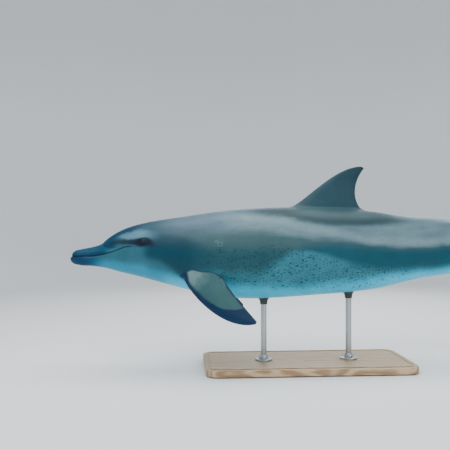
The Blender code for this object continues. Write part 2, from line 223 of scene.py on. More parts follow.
@dataclass
class BodyForm:
    """The body's outer shape without its fins, set on the frame by the eyes' centres."""

    stations: Sequence[Station] = BODY_STATIONS
    beak_round: float = 0.030
    underbite: float = 0.007
    underbite_fade: float = 0.060
    eye_along: float = 0.355
    eye_height: float = 0.054
    normal_step: float = 0.004
    zero: Vector = field(init=False)

    def __post_init__(self) -> None:
        """Makes the curves and finds where the beak's tip and the body line lie."""
        places = [station.along for station in self.stations]
        for name in ("back", "belly", "half_width", "widest", "roof", "keel"):
            values = [getattr(station, name) for station in self.stations]
            setattr(self, name, SmoothCurve(places, values))
        low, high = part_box("eye_left")
        eye = (low + high) / 2
        self.zero = Vector((eye.x - self.eye_along, 0.0, eye.z - self.eye_height))

    def place(self, along: float, side: float, height: float) -> Vector:
        """A point from its distance along, its offset to the right and its height."""
        return self.zero + Vector((along, side, height))

    def reach(self, along: float, above: bool) -> float:
        """How far the section reaches over or under its widest level, always positive."""
        outline = self.back if above else self.belly
        return abs(outline(along) - self.widest(along)) * self.rounding(along)

    def rounding(self, along: float) -> float:
        """The share of its full size that the rounded beak tip has at a place.

        Args:
            along: distance from the beak's tip.

        Returns:
            The share, from 0 to 1.
        """
        if along >= self.beak_round:
            return 1.0
        return math.sqrt(max(0.0, 1 - (1 - along / self.beak_round) ** 2))

    def lead(self, along: float, up: float) -> float:
        """How far the upper beak lies behind the lower jaw near the tip."""
        fade = 1 - smooth_step(0.0, self.underbite_fade, along)
        return self.underbite * fade * smooth_step(-0.15, 0.15, up)

    def point(self, along: float, turn: float, swell: float = 1.0) -> Vector:
        """A point of the body's surface.

        Args:
            along: distance from the beak's tip.
            turn: 0 at the back, pi at the belly, by way of the left side.
            swell: how much wider and taller than the form.

        Returns:
            The point in the row frame.
        """
        across, up = math.sin(turn), math.cos(turn)
        fullness = self.roof(along) if up > 0 else self.keel(along)
        side = self.half_width(along) * self.rounding(along) * abs(across) ** (2 / fullness)
        rise = self.reach(along, up > 0) * abs(up) ** (2 / fullness)
        height = self.widest(along) + math.copysign(rise, up) * swell
        shifted = along + self.lead(along, up)
        return self.place(shifted, -math.copysign(side, across) * swell, height)

    def level(self, along: float, height: float) -> tuple[bool, float, float]:
        """Where a height lies in the section of a place.

        Args:
            along: distance from the beak's tip.
            height: height over the body line.

        Returns:
            Whether it is over the widest level, its share of the reach, and the fullness.
        """
        above = height > self.widest(along)
        share = min(1.0, abs(height - self.widest(along)) / self.reach(along, above))
        return above, share, self.roof(along) if above else self.keel(along)

    def side_at(self, along: float, height: float) -> float:
        """The body's half breadth at a height.

        Args:
            along: distance from the beak's tip.
            height: height over the body line.

        Returns:
            The half breadth.
        """
        _, share, fullness = self.level(along, height)
        room = max(0.0, 1 - share**fullness)
        return self.half_width(along) * self.rounding(along) * room ** (1 / fullness)

    def on_left(self, along: float, height: float) -> Vector:
        """The surface point of the left side at a height."""
        return self.place(along, -self.side_at(along, height), height)

    def turn_at(self, along: float, height: float) -> float:
        """The turn at which the section's left side has a height.

        Args:
            along: distance from the beak's tip.
            height: height over the body line.

        Returns:
            The turn, 0 at the back and pi at the belly.
        """
        above, share, fullness = self.level(along, height)
        up = share ** (fullness / 2)
        return math.acos(up if above else -up)

    def normal_at(self, along: float, height: float) -> Vector:
        """The outward direction of the left side at a height.

        Args:
            along: distance from the beak's tip.
            height: height over the body line.

        Returns:
            The direction, of length 1.
        """
        step = self.normal_step
        lengthways = self.on_left(along + step, height) - self.on_left(along - step, height)
        upright = self.on_left(along, height + step) - self.on_left(along, height - step)
        return lengthways.cross(upright).normalized()


# ------------------------------------------------------------------ node building


class Wire:
    """A value or colour of a node tree: sums on it lay Math nodes, and masks start from it."""

    def __init__(self, bench: "NodeBench", socket: bpy.types.NodeSocket) -> None:
        """Holds an output and the bench that it lies on."""
        self.bench, self.socket = bench, socket

    def __add__(self, other: "Feed") -> "Wire":
        """The sum."""
        return self.bench.math("ADD", self, other)

    def __sub__(self, other: "Feed") -> "Wire":
        """The difference."""
        return self.bench.math("SUBTRACT", self, other)

    def __rsub__(self, other: float) -> "Wire":
        """What is left of a number."""
        return self.bench.math("SUBTRACT", other, self)

    def __mul__(self, other: "Feed") -> "Wire":
        """The product; of masks, the place where all are full."""
        return self.bench.math("MULTIPLY", self, other)

    def __truediv__(self, other: "Feed") -> "Wire":
        """The quotient."""
        return self.bench.math("DIVIDE", self, other)

    def __rtruediv__(self, other: float) -> "Wire":
        """A number divided by the value."""
        return self.bench.math("DIVIDE", other, self)

    def __pow__(self, power: float) -> "Wire":
        """The power."""
        return self.bench.math("POWER", self, power)

    def __abs__(self) -> "Wire":
        """The value without its sign."""
        return self.bench.math("ABSOLUTE", self)

    def __or__(self, other: "Feed") -> "Wire":
        """The larger; of masks, the place where either is full."""
        return self.bench.math("MAXIMUM", self, other)

    def rise(self, low: "Feed", high: "Feed") -> "Wire":
        """A mask that rises smoothly from 0 at low to 1 at high; low may be the larger."""
        feeds = {"Value": self, "From Min": low, "From Max": high}
        return self.bench.lay("MapRange", feeds, interpolation_type="SMOOTHSTEP")


Feed = float | Sequence[float] | Wire
Feeds = dict[str | int, Feed]


class NodeBench:
    """Lays nodes into one node tree and links them."""

    curve_start, curve_end, curve_low, curve_span = -0.1, 2.6, -0.4, 1.0

    def __init__(self, tree: bpy.types.NodeTree) -> None:
        """Starts on an emptied tree."""
        self.tree = tree
        tree.nodes.clear()

    def add(self, kind: str, feeds: Feeds | None = None, **settings: object) -> bpy.types.Node:
        """Adds a node.

        Args:
            kind: the node's type, without its "ShaderNode" prefix.
            feeds: a wire, a number or a tuple for each input, by name or index.
            settings: the node's own properties.

        Returns:
            The node.
        """
        node = self.tree.nodes.new(kind if kind.startswith("NodeGroup") else "ShaderNode" + kind)
        for name, value in settings.items():
            setattr(node, name, value)
        for key, value in (feeds or {}).items():
            if isinstance(value, Wire):
                self.tree.links.new(value.socket, node.inputs[key])
            else:
                node.inputs[key].default_value = value
        return node

    def lay(self, kind: str, feeds: Feeds | None = None, out: int | str = 0, **settings: object) -> Wire:
        """Adds a node and gives one of its outputs, by index or name; the rest as add()."""
        return Wire(self, self.add(kind, feeds, **settings).outputs[out])

    def math(self, operation: str, *values: Feed, clamp: bool = False) -> Wire:
        """The result of one Math node."""
        return self.lay("Math", dict(enumerate(values)), operation=operation, use_clamp=clamp)

    def vector(self, operation: str, first: Feed, second: Feed, out: str = "Vector") -> Wire:
        """The result of one Vector Math node."""
        return self.lay("VectorMath", {0: first, 1: second}, out, operation=operation)

    def mix(self, share: Feed, first: Feed, second: Feed, blend: str = "MIX") -> Wire:
        """A colour between two others, or one blended with the other."""
        feeds = {"Factor": share, 6: first, 7: second}
        return self.lay("Mix", feeds, 2, data_type="RGBA", blend_type=blend, clamp_result=True)

    def mix_value(self, share: Feed, first: Feed, second: Feed) -> Wire:
        """A value between two others."""
        return self.lay("Mix", {"Factor": share, 2: first, 3: second}, data_type="FLOAT")

    def profile(self, place: Wire, points: Pairs) -> Wire:
        """A smooth curve of heights over distances along, as a Float Curve node.

        Args:
            place: the distance along.
            points: (along, height) pairs.

        Returns:
            The height.
        """
        reach = self.curve_end - self.curve_start
        node = self.add("FloatCurve", {"Value": (place - self.curve_start) / reach})
        curve = node.mapping.curves[0]
        while len(curve.points) < len(points):
            curve.points.new(0.5, 0.5)
        for spot, (along, height) in zip(curve.points, sorted(points)):
            share = (height - self.curve_low) / self.curve_span
            spot.location = ((along - self.curve_start) / reach, share)
            spot.handle_type = "AUTO_CLAMPED"
        node.mapping.update()
        return Wire(self, node.outputs[0]) * self.curve_span + self.curve_low

    def noise(self, vector: Feed, scale: Feed, detail: float = 2.0, roughness: float = 0.5) -> Wire:
        """Noise from 0 to 1."""
        feeds = {"Vector": vector, "Scale": scale, "Detail": detail, "Roughness": roughness}
        return self.lay("TexNoise", feeds)

    def stretched(self, vector: Wire, scale: Sequence[float]) -> Wire:
        """A vector scaled along each axis."""
        return self.lay("Mapping", {"Vector": vector, "Scale": scale})


class Coat(NodeBench):
    """The bench of a material, with its Principled BSDF and the coordinates it is painted by."""

    def __init__(self, tree: bpy.types.NodeTree) -> None:
        """Lays the shader.

        Args:
            tree: the material's tree.
        """
        super().__init__(tree)
        self.shader = self.add("BsdfPrincipled")
        self.add("OutputMaterial", {"Surface": Wire(self, self.shader.outputs["BSDF"])})
        self.space = self.lay("TexCoord", out="Object")

    def clouded(self, colour: Wire, cloud: Wire, dark: Sequence[float]) -> Wire:
        """A colour, multiplied with a dark one where a cloudy value is low."""
        return self.mix(1.0, colour, self.mix(cloud, (*dark, 1), (1, 1, 1, 1)), "MULTIPLY")

    def dress(self, colour: Wire, rough: Wire, height: Wire | None, strength: float = 0.6) -> None:
        """Feeds the shader.

        Args:
            colour: its colour.
            rough: its roughness.
            height: the height in metres that its bump comes from, if any.
            strength: the bump's strength.
        """
        feeds = {"Base Color": colour, "Roughness": rough}
        if height:
            feeds["Normal"] = self.lay("Bump", {"Height": height, "Strength": strength, "Distance": 1.0})
        for name, wire in feeds.items():
            self.tree.links.new(wire.socket, self.shader.inputs[name])


def srgb(tone: Tone) -> Colour:
    """The linear colour that a shader takes for a screen colour.

    Args:
        tone: its three channels, up to 255.

    Returns:
        The colour, opaque.
    """
    shares = [channel / 255 for channel in tone]
    linear = [s / 12.92 if s <= 0.04045 else ((s + 0.055) / 1.055) ** 2.4 for s in shares]
    return (*linear, 1.0)


class Effects:
    """The node groups that more than one finish uses; each puts out one value."""

    def __init__(self) -> None:
        """Builds each group once."""
        self.mottle = self.mottle_group()
        self.scuffs = self.scuffs_group()

    def begun(self, name: str, inputs: dict[str, float], output: str) -> tuple[NodeBench, dict[str, Wire]]:
        """An empty node group with a Vector input, float inputs and one float output.

        Args:
            name: the group's name.
            inputs: each float input's default.
            output: the output's name.

        Returns:
            The bench for its tree and a wire for each input.
        """
        tree = bpy.data.node_groups.new(name, "ShaderNodeTree")
        tree.interface.new_socket("Vector", in_out="INPUT", socket_type="NodeSocketVector")
        for label, value in inputs.items():
            made = tree.interface.new_socket(label, in_out="INPUT", socket_type="NodeSocketFloat")
            made.default_value = value
        tree.interface.new_socket(output, in_out="OUTPUT", socket_type="NodeSocketFloat")
        bench = NodeBench(tree)
        given = bench.add("NodeGroupInput").outputs
        return bench, {label: Wire(bench, given[label]) for label in ("Vector", *inputs)}

    def mottle_group(self) -> bpy.types.NodeTree:
        """Cloudy change of tone: large clouds with a fine grain in them.

        Returns:
            The group.
        """
        bench, given = self.begun("Mottle", {"Size": 0.1, "Grain": 0.3}, "Value")
        scale, share = 1.0 / given["Size"], given["Grain"]
        clouds = bench.noise(given["Vector"], scale, 3.0)
        fine = bench.noise(given["Vector"], scale * 14.0)
        bench.add("NodeGroupOutput", {"Value": clouds * (1.0 - share) + fine * share})
        return bench.tree

    def scuffs_group(self) -> bpy.types.NodeTree:
        """Thin, sparse scratches, 1 on a scratch.

        Returns:
            The group.
        """
        bench, given = self.begun("Scuffs", {"Size": 0.2, "Amount": 0.5}, "Mask")
        space, scale = given["Vector"], 1.0 / given["Size"]
        bent = bench.lay("TexNoise", {"Vector": space, "Scale": 9.0, "Detail": 1.0}, "Color")
        warped = bench.vector("ADD", space, bench.vector("MULTIPLY", bent, (0.05, 0.05, 0.05)))
        net = {"Vector": warped, "Scale": scale}
        line = bench.lay("TexVoronoi", net, feature="DISTANCE_TO_EDGE").rise(0.012, 0.0)
        floor = 0.78 - given["Amount"] * 0.2
        kept = bench.noise(space, scale * 2.3).rise(floor, floor + 0.05)
        bench.add("NodeGroupOutput", {"Mask": line * kept})
        return bench.tree

    def use(self, bench: NodeBench, tree: bpy.types.NodeTree, vector: Wire, **values: float) -> Wire:
        """Places a group in a material.

        Args:
            bench: the material's bench.
            tree: the group.
            vector: the coordinates it reads.
            values: its float inputs.

        Returns:
            Its one output.
        """
        feeds = {label.title(): value for label, value in values.items()}
        return bench.lay("Group", {"Vector": vector, **feeds}, node_tree=tree)


# ------------------------------------------------------------------ fins


@dataclass(frozen=True)
class Fin:
    """A fin between two curved edges, with a rounded leading edge and a thin trailing one.

    Edges are cubic Bezier control points in the fin's own plane, from root to tip.  SECTION
    holds the factors of a common fin section, for the root and powers of the chord's share.
    """

    lead: Pairs
    trail: Pairs
    thickness: SmoothCurve
    to_body: Callable[[float, float, float], Vector]
    levels: tuple[float, ...]
    edge: float = 0.0017
    nose: float = 0.008
    SECTION: ClassVar[tuple[float, ...]] = (0.2969, -0.1260, -0.3516, 0.2843, -0.1036)

    def spot(self, level: float, share: float, side: float) -> Vector:
        """A point of the fin.

        Args:
            level: share of the way from root to tip.
            share: share of the chord, from leading to trailing edge.
            side: -1 and 1 on its two faces, 0 between them.

        Returns:
            The point in body coordinates.
        """
        lead = bezier([Vector(point) for point in self.lead], level)
        trail = bezier([Vector(point) for point in self.trail], level)
        if side:
            share = mixed(self.nose, 1 - self.nose, share)
        middle = lead.lerp(trail, share)
        return self.to_body(middle.x, middle.y, side * self.half(level, share))

    def half(self, level: float, share: float) -> float:
        """Half of the fin's thickness.

        Args:
            level: share of the way from root to tip.
            share: share of the chord, from leading to trailing edge.

        Returns:
            The half thickness.
        """
        powers = (math.sqrt(share), share, share**2, share**3, share**4)
        curve = sum(factor * power for factor, power in zip(self.SECTION, powers))
        return 5 * curve * self.thickness(level) + self.edge / 2


@dataclass
class FinSet:
    """The animal's fins, in coordinates of distance along, offset outwards and height."""

    flipper_root: Vector = field(default_factory=lambda: Vector((0.548, 0.122, -0.112)))
    flipper_span: Vector = field(default_factory=lambda: Vector((0.721, 0.440, -0.536)).normalized())
    flipper_chord: Vector = field(default_factory=lambda: Vector((0.597, 0.000, 0.803)).normalized())
    fluke_height: float = 0.066
    fluke_droop: float = 0.020
    fluke_reach: float = 0.296

    @property
    def flipper_outwards(self) -> Vector:
        """The direction in which a flipper's outer face looks."""
        return self.flipper_span.cross(self.flipper_chord) * -1

    def dorsal(self) -> Fin:
        """The back fin, in the mid-plane; its offset is to the right."""
        return Fin(
            lead=((1.050, 0.207), (1.178, 0.287), (1.290, 0.424), (1.415, 0.421)),
            trail=((1.425, 0.203), (1.372, 0.240), (1.362, 0.335), (1.428, 0.413)),
            thickness=SmoothCurve([0, 0.1, 0.2, 0.5, 0.85, 1], [0.060, 0.050, 0.038, 0.024, 0.011, 0.006]),
            to_body=lambda along, height, offset: Vector((along, offset, height)),
            levels=(0.10, 0.17, 0.26, 0.37, 0.49, 0.61, 0.73, 0.84, 0.92, 0.97, 1.0),
        )

    def flipper(self) -> Fin:
        """A flipper; its offset is to the outer face."""

        def to_body(span: float, chord: float, offset: float) -> Vector:
            """From the flipper's plane to the body."""
            middle = self.flipper_root + self.flipper_span * span + self.flipper_chord * chord
            return middle + self.flipper_outwards * offset

        return Fin(
            lead=((-0.010, -0.006), (0.090, -0.055), (0.310, -0.080), (0.401, 0.030)),
            trail=((0.115, 0.118), (0.200, 0.078), (0.292, 0.064), (0.399, 0.042)),
            thickness=SmoothCurve([0, 0.12, 0.5, 0.85, 1], [0.046, 0.034, 0.022, 0.011, 0.006]),
            to_body=to_body,
            levels=(0.07, 0.14, 0.23, 0.34, 0.46, 0.58, 0.70, 0.81, 0.90, 0.96, 1.0),
        )

    def fluke(self) -> Fin:
        """One half of the flukes; its offset is upwards."""

        def to_body(along: float, side: float, offset: float) -> Vector:
            """From the flukes' level outline to their drooping surface."""
            droop = self.fluke_droop * (side / self.fluke_reach) ** 2
            return Vector((along, side, self.fluke_height - droop + offset))

        return Fin(
            lead=((2.205, 0.0), (2.262, 0.130), (2.352, 0.240), (2.473, 0.297)),
            trail=((2.430, 0.0), (2.480, 0.070), (2.434, 0.190), (2.479, 0.295)),
            thickness=SmoothCurve([0, 0.15, 0.5, 0.85, 1], [0.040, 0.032, 0.019, 0.009, 0.005]),
            to_body=to_body,
            levels=(0.12, 0.19, 0.28, 0.39, 0.51, 0.63, 0.75, 0.85, 0.93, 0.975, 1.0),
        )


# ------------------------------------------------------------------ the skin's cage

# heights of the mouth over distances along, behind the beak's front part
MOUTH_LINE: Pairs = (
    (0.110, -0.014), (0.160, -0.006), (0.205, 0.007), (0.245, 0.022), (0.280, 0.032), (0.308, 0.031),
)


@dataclass(frozen=True)
class Patch:
    """A block of the cage's faces: its first and last ring and its first and last loop."""

    first_ring: int
    last_ring: int
    first_loop: int
    last_loop: int

    def holds(self, ring: int, loop: int) -> bool:
        """Whether a vertex lies in the patch or on its edge."""
        return self.first_ring <= ring <= self.last_ring and self.first_loop <= loop <= self.last_loop

    def across(self, loop: int) -> int:
        """-1, 0 or 1 on the upper edge, middle or lower edge of a patch two faces wide."""
        return loop - (self.first_loop + self.last_loop) // 2


@dataclass
class SkinCage:
    """The animal's skin as a cage of quads: half of it wrapped round, mirrored and grown."""

    form: BodyForm
    fins: FinSet
    loops: int = 20
    beak_rings: tuple[float, ...] = (
        0.0, 0.0055, 0.014, 0.025, 0.039, 0.053, 0.067, 0.082, 0.097, 0.112, 0.127, 0.140,
        0.149, 0.156, 0.162, 0.170, 0.180, 0.192, 0.206, 0.220, 0.234, 0.248, 0.262, 0.276,
        0.290, 0.302, 0.314,
    )
    eye_rings: tuple[float, ...] = (0.327, 0.341, 0.355, 0.369, 0.383)
    neck_rings: tuple[float, ...] = (0.396, 0.411, 0.428, 0.448, 0.470, 0.493, 0.517)
    flipper_rings: tuple[float, ...] = (0.541, 0.560, 0.580, 0.600, 0.620, 0.640, 0.660, 0.682, 0.704)
    chest_rings: tuple[float, ...] = (
        0.730, 0.762, 0.797, 0.833, 0.870, 0.907, 0.944, 0.980, 1.012, 1.038,
    )
    dorsal_rings: tuple[float, ...] = (
        1.060, 1.078, 1.102, 1.133, 1.168, 1.205, 1.243, 1.280, 1.315, 1.347, 1.377, 1.404, 1.430,
    )
    tail_rings: tuple[float, ...] = (
        1.460, 1.493, 1.527, 1.561, 1.595, 1.630, 1.665, 1.700, 1.736, 1.772, 1.809, 1.846,
        1.883, 1.920, 1.957, 1.994, 2.031, 2.066, 2.100, 2.132, 2.160, 2.184,
    )
    fluke_rings: tuple[float, ...] = (
        2.205, 2.224, 2.244, 2.265, 2.287, 2.309, 2.331, 2.353, 2.375, 2.396, 2.414,
    )
    end_rings: tuple[float, ...] = (2.420, 2.424)
    mouth_end: float = 0.306
    lip: float = 0.0027
    mouth_depth: float = 0.0062
    lip_crease: float = 0.45
    lip_rise: float = 0.0007
    mouth_run_out: Pair = (-0.022, 0.006)
    swell: float = 1.004
    eye_tilt: float = 0.06
    mouth_fade: Pair = (0.306, 0.450)
    fluke_chord: float = 0.225
    fluke_room: Pair = (0.35, 0.72)
    tail_fade: Pair = (2.080, 2.205)
    flipper_turns: Pair = (129, 114)
    blowhole_along: float = 0.378
    blowhole_bend: Pair = (0.011, 0.004)
    eye_open: Pair = (0.0108, 0.0054)

    def __post_init__(self) -> None:
        """Numbers the rings and names the patches that fins, lids and blowhole grow from."""
        self.rings = (
            self.beak_rings + self.eye_rings + self.neck_rings + self.flipper_rings
            + self.chest_rings + self.dorsal_rings + self.tail_rings + self.fluke_rings
            + self.end_rings
        )
        self.mouth = SmoothCurve(*zip((-0.040, -0.016), *MOUTH_LINE))
        self.eye_patch = self.patch(self.eye_rings, 7, 9)
        self.flipper_patch = self.patch(self.flipper_rings, 13, 15)
        self.fluke_patch = self.patch(self.fluke_rings, 9, 11)
        self.dorsal_patch = self.patch(self.dorsal_rings, -1, 1)
        self.blowhole_patch = self.patch(self.eye_rings[2:] + self.neck_rings[:1], -1, 1)

    def patch(self, rings: Sequence[float], first_loop: int, last_loop: int) -> Patch:
        """The patch between two loops over some of the rings."""
        first, last = self.rings.index(rings[0]), self.rings.index(rings[-1])
        return Patch(first, last, first_loop, last_loop)

    def turns(self, along: float) -> list[float]:
        """The turn of each loop at a place: loop 10 is the mouth, then the flukes' middle.

        Args:
            along: distance from the beak's tip.

        Returns:
            One turn for each loop, from the back to the belly.
        """
        form, middle = self.form, self.loops // 2
        even = math.pi / self.loops
        mouth = self.mouth(along)
        size = 0.3 + 0.7 * form.rounding(along)
        lips = [form.turn_at(along, mouth + lift * self.lip * size) for lift in (1, 0, -1)]
        own = 1 - smooth_step(*self.mouth_fade, along)
        chord = (along - self.fins.fluke().lead[0][0]) / self.fluke_chord
        half = self.fins.fluke().half(0.0, min(1.0, max(0.0, chord)))
        room = min(form.reach(along, True), form.reach(along, False))
        least, most = self.fluke_room
        half = min(most * room, max(half, least * room))
        blades = [form.turn_at(along, form.widest(along) + lift * half) for lift in (1, 0, -1)]
        tail = smooth_step(*self.tail_fade, along)
        guides = []
        for offset, lip_turn, blade_turn in zip((-1, 0, 1), lips, blades):
            turn = mixed(even * (middle + offset), lip_turn, own)
            guides.append(mixed(turn, blade_turn, tail))
        upper, centre, lower = guides
        turns = [upper * j / (middle - 1) for j in range(middle)] + [centre]
        turns += [mixed(lower, math.pi, j / (middle - 1)) for j in range(middle)]
        root = math.radians(mixed(*self.flipper_turns, smooth_step(0.545, 0.700, along)))
        drift = smooth_step(0.420, 0.541, along) * (1 - smooth_step(0.704, 0.840, along))
        push = (root - turns[14]) * drift
        hat = {11: 0.15, 12: 0.6, 13: 1.0, 14: 1.0, 15: 1.0, 16: 0.75, 17: 0.5, 18: 0.25, 19: 0.1}
        return [turn + push * hat.get(j, 0.0) for j, turn in enumerate(turns)]

    def skin_spot(self, ring: int, loop: int) -> Vector:
        """Where a vertex of the wrapped cage lies, before anything grows out of it.

        Args:
            ring: the ring's number.
            loop: the loop's number.

        Returns:
            The point.
        """
        form, last = self.form, len(self.rings) - 1
        if 0 < ring < last:
            along = self.rings[ring]
            turn = self.turns(along)[loop]
            spot = form.point(along, turn, self.swell)
            return spot + self.mouth_shift(along, loop)
        near = self.rings[1] if ring == 0 else self.rings[last - 1]
        edge = form.point(near, self.turns(near)[loop])
        edge.y = 0.0
        height = edge.z - form.zero.z
        if ring == last:
            edge.x = form.zero.x + self.rings[last] - 0.004 * abs(math.cos(self.turns(near)[loop]))
            return edge
        above = height > form.widest(near)
        outline = form.back(0.0) if above else form.belly(0.0)
        fullness = form.roof(0.0) if above else form.keel(0.0)
        share = min(1.0, abs((height - form.widest(0.0)) / (outline - form.widest(0.0))))
        depth = form.beak_round * (1 - math.sqrt(1 - share**2)) * 0.9
        up = math.copysign(share ** (fullness / 2), 1 if above else -1)
        edge.x = form.zero.x + depth + form.lead(0.0, up)
        if loop == self.loops // 2:
            edge.x += self.mouth_depth * 0.8
        return edge

    def mouth_shift(self, along: float, loop: int) -> Vector:
        """How far a loop is moved for the mouth: its floor inwards, its lips outwards.

        Args:
            along: distance from the beak's tip.
            loop: the loop's number.

        Returns:
            The move.
        """
        step = loop - self.loops // 2
        strength = 1 - smooth_step(*self.mouth_run_out, along - self.mouth_end)
        if abs(step) > 1 or strength == 0:
            return Vector((0, 0, 0))
        height = self.mouth(along) + step * -self.lip
        outward = self.form.normal_at(max(along, 0.012), height)
        if step == 0:
            return outward * -self.mouth_depth * strength * (0.4 + 0.6 * self.form.rounding(along))
        return outward * self.lip_rise * strength

    def wrap(self) -> None:
        """Makes the left half: a grid wrapped round the body, open at the mid-plane."""
        self.mesh = mesh = bmesh.new()
        self.ring_tag = mesh.verts.layers.int.new("ring")
        self.loop_tag = mesh.verts.layers.int.new("loop")
        for name in ("dorsal", "flipper", "fluke", "lid"):
            mesh.verts.layers.float.new(name)
        self.masks = dict(mesh.verts.layers.float.items())
        spans = len(self.rings) - 1
        bmesh.ops.create_grid(mesh, x_segments=spans, y_segments=self.loops, size=1.0)
        for vert in mesh.verts:
            vert[self.ring_tag] = round((vert.co.x + 1) / 2 * spans)
            vert[self.loop_tag] = round((vert.co.y + 1) / 2 * self.loops)
        for vert in mesh.verts:
            vert.co = self.skin_spot(vert[self.ring_tag], vert[self.loop_tag])

    def faces_of(self, patch: Patch) -> list[BMFace]:
        """The faces of a patch."""
        return [
            face for face in self.mesh.faces
            if all(patch.holds(vert[self.ring_tag], vert[self.loop_tag]) for vert in face.verts)
        ]

    def grow(
        self, faces: list[BMFace], place: Callable[[int, int], Vector], mask: str, value: float
    ) -> list[BMFace]:
        """Extrudes faces and puts the copy in place.

        Args:
            faces: the faces.
            place: gives the place of a vertex from its ring and loop.
            mask: the name of the attribute that marks the new vertices.
            value: the attribute's value.

        Returns:
            The copied faces.
        """
        made = bmesh.ops.extrude_face_region(self.mesh, geom=faces)["geom"]
        copied = [item for item in made if isinstance(item, BMFace)]
        bmesh.ops.delete(self.mesh, geom=faces, context="FACES")
        for vert in {vert for face in copied for vert in face.verts}:
            vert.co = place(vert[self.ring_tag], vert[self.loop_tag])
            vert[self.masks[mask]] = value
        return copied

    def grow_fin(self, patch: Patch, fin: Fin, name: str, outward: int) -> None:
        """Draws a fin out of a patch two faces wide, one level after another.

        Args:
            patch: the patch at its root.
            fin: the fin.
            name: the attribute that marks it.
            outward: -1 where the fin's second coordinate is an offset to the left, else 0.
        """
        faces = self.faces_of(patch)
        start, end = self.rings[patch.first_ring], self.rings[patch.last_ring]
        for level in fin.levels:

            def place(ring: int, loop: int, level: float = level) -> Vector:
                """The fin's point for a ring and a loop."""
                share = (self.rings[ring] - start) / (end - start)
                spot = fin.spot(level, share, -patch.across(loop))
                if outward:
                    spot.y *= outward
                return self.form.zero + spot

            faces = self.grow(faces, place, name, level)

    def grow_eyelids(self) -> None:
        """Shapes the lids: loops that rise to a rim on the eyeball and turn in behind it."""
        low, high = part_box("eye_left")
        ball_centre, ball_radius = (low + high) / 2, (high.x - low.x) / 2
        form, patch = self.form, self.eye_patch
        outward = form.normal_at(form.eye_along, form.eye_height)
        lengthways = outward.cross((0, 0, 1)).normalized()
        lengthways *= math.copysign(1, lengthways.x)
        upright = lengthways.cross(outward).normalized()
        upright *= math.copysign(1, upright.z)
        depth = (form.on_left(form.eye_along, form.eye_height) - ball_centre).dot(outward)
        middle_ring = (patch.first_ring + patch.last_ring) / 2
        middle_loop = (patch.first_loop + patch.last_loop) // 2
        edge = (
            (2, 0), (2, 1), (1, 1), (0, 1), (-1, 1), (-2, 1),
            (-2, 0), (-2, -1), (-1, -1), (0, -1), (1, -1), (2, -1),
        )
        corners = {steps: 30 * index for index, steps in enumerate(edge)}
        # half length, half height, how pointed the corners are, rise over the skin at the
        # bottom and at the top, and least rise over the ball
        rims = (
            (0.0225, 0.0178, 0.0, 0.0000, 0.0010, None),
            (0.0185, 0.0140, 0.1, -0.0004, -0.0010, 0.0008),
            (0.0160, 0.0112, 0.3, 0.0006, 0.0012, 0.0014),
            (0.0138, 0.0084, 0.5, 0.0006, 0.0014, 0.0017),
            (0.0122, 0.0066, 0.7, -0.0040, -0.0040, 0.0014),
            (*self.eye_open, 0.8, -0.0100, -0.0100, 0.0003),
            (0.0112, 0.0057, 0.8, -0.0200, -0.0200, -0.0016),
            (0.0100, 0.0052, 0.8, -0.0200, -0.0200, -0.0060),
        )
        faces = self.faces_of(patch)
        for index, (length, tall, pointed, low_lift, top_lift, lid) in enumerate(rims):

            def place(ring: int, loop: int) -> Vector:
                """The lids' point for a ring and a loop."""
                steps = (round(ring - middle_ring), middle_loop - loop)
                if steps in corners:
                    angle = math.radians(corners[steps])
                    rise = mixed(abs(math.sin(angle)), math.sin(angle) ** 2, pointed)
                    first, second = length * math.cos(angle), math.copysign(tall * rise, math.sin(angle))
                else:
                    angle, first, second = 0.0, length * 0.5 * steps[0], 0.0
                second += self.eye_tilt * first
                flat = ball_centre + lengthways * first + upright * second
                own = flat + outward * depth - form.zero
                rise = (form.on_left(own.x, own.z) - flat).dot(outward)
                rise += mixed(low_lift, top_lift, max(0.0, math.sin(angle)))
                if lid is not None:
                    over_ball = (ball_radius + lid) ** 2 - first**2 - second**2
                    rise = max(rise, math.sqrt(max(0.0, over_ball)))
                return flat + outward * rise

            faces = self.grow(faces, place, "lid", index / (len(rims) - 1))

    def grow_blowhole(self) -> None:
        """Presses the blowhole in: a closed crescent whose horns point to the beak."""
        form, patch = self.form, self.blowhole_patch
        edge = (
            (0, 0), (1, 0), (1, 1), (1, 2), (1, 3), (0, 3), (-1, 3), (-1, 2), (-1, 1), (-1, 0),
        )
        angles = {steps: 36 * index - 90 for index, steps in enumerate(edge)}
        rims = (
            (0.0240, 0.0130, 0.3, 0.0000),
            (0.0205, 0.0078, 0.8, 0.0014),
            (0.0180, 0.0042, 1.0, 0.0004),
            (0.0168, 0.0018, 1.0, -0.0050),
            (0.0150, 0.0014, 1.0, -0.0100),
        )
        faces = self.faces_of(patch)
        for index, (wide, long, bent, lift) in enumerate(rims):

            def place(ring: int, loop: int) -> Vector:
                """The blowhole's point for a ring and a loop."""
                steps = (loop, ring - patch.first_ring)
                if steps in angles:
                    angle = math.radians(angles[steps])
                    across, back = wide * math.cos(angle), long * math.sin(angle)
                else:
                    across, back = 0.0, long * (ring - patch.first_ring - 1.5) / 3
                sides, whole = self.blowhole_bend
                along = self.blowhole_along + back - sides * bent * (across / wide) ** 2 + whole * bent
                drop = form.back(along) - form.widest(along)
                fall = drop * (1 - math.sqrt(1 - (across / form.half_width(along)) ** 2))
                return form.place(along, -across, form.back(along) - fall + lift)

            faces = self.grow(faces, place, "lid", index / (len(rims) - 1))

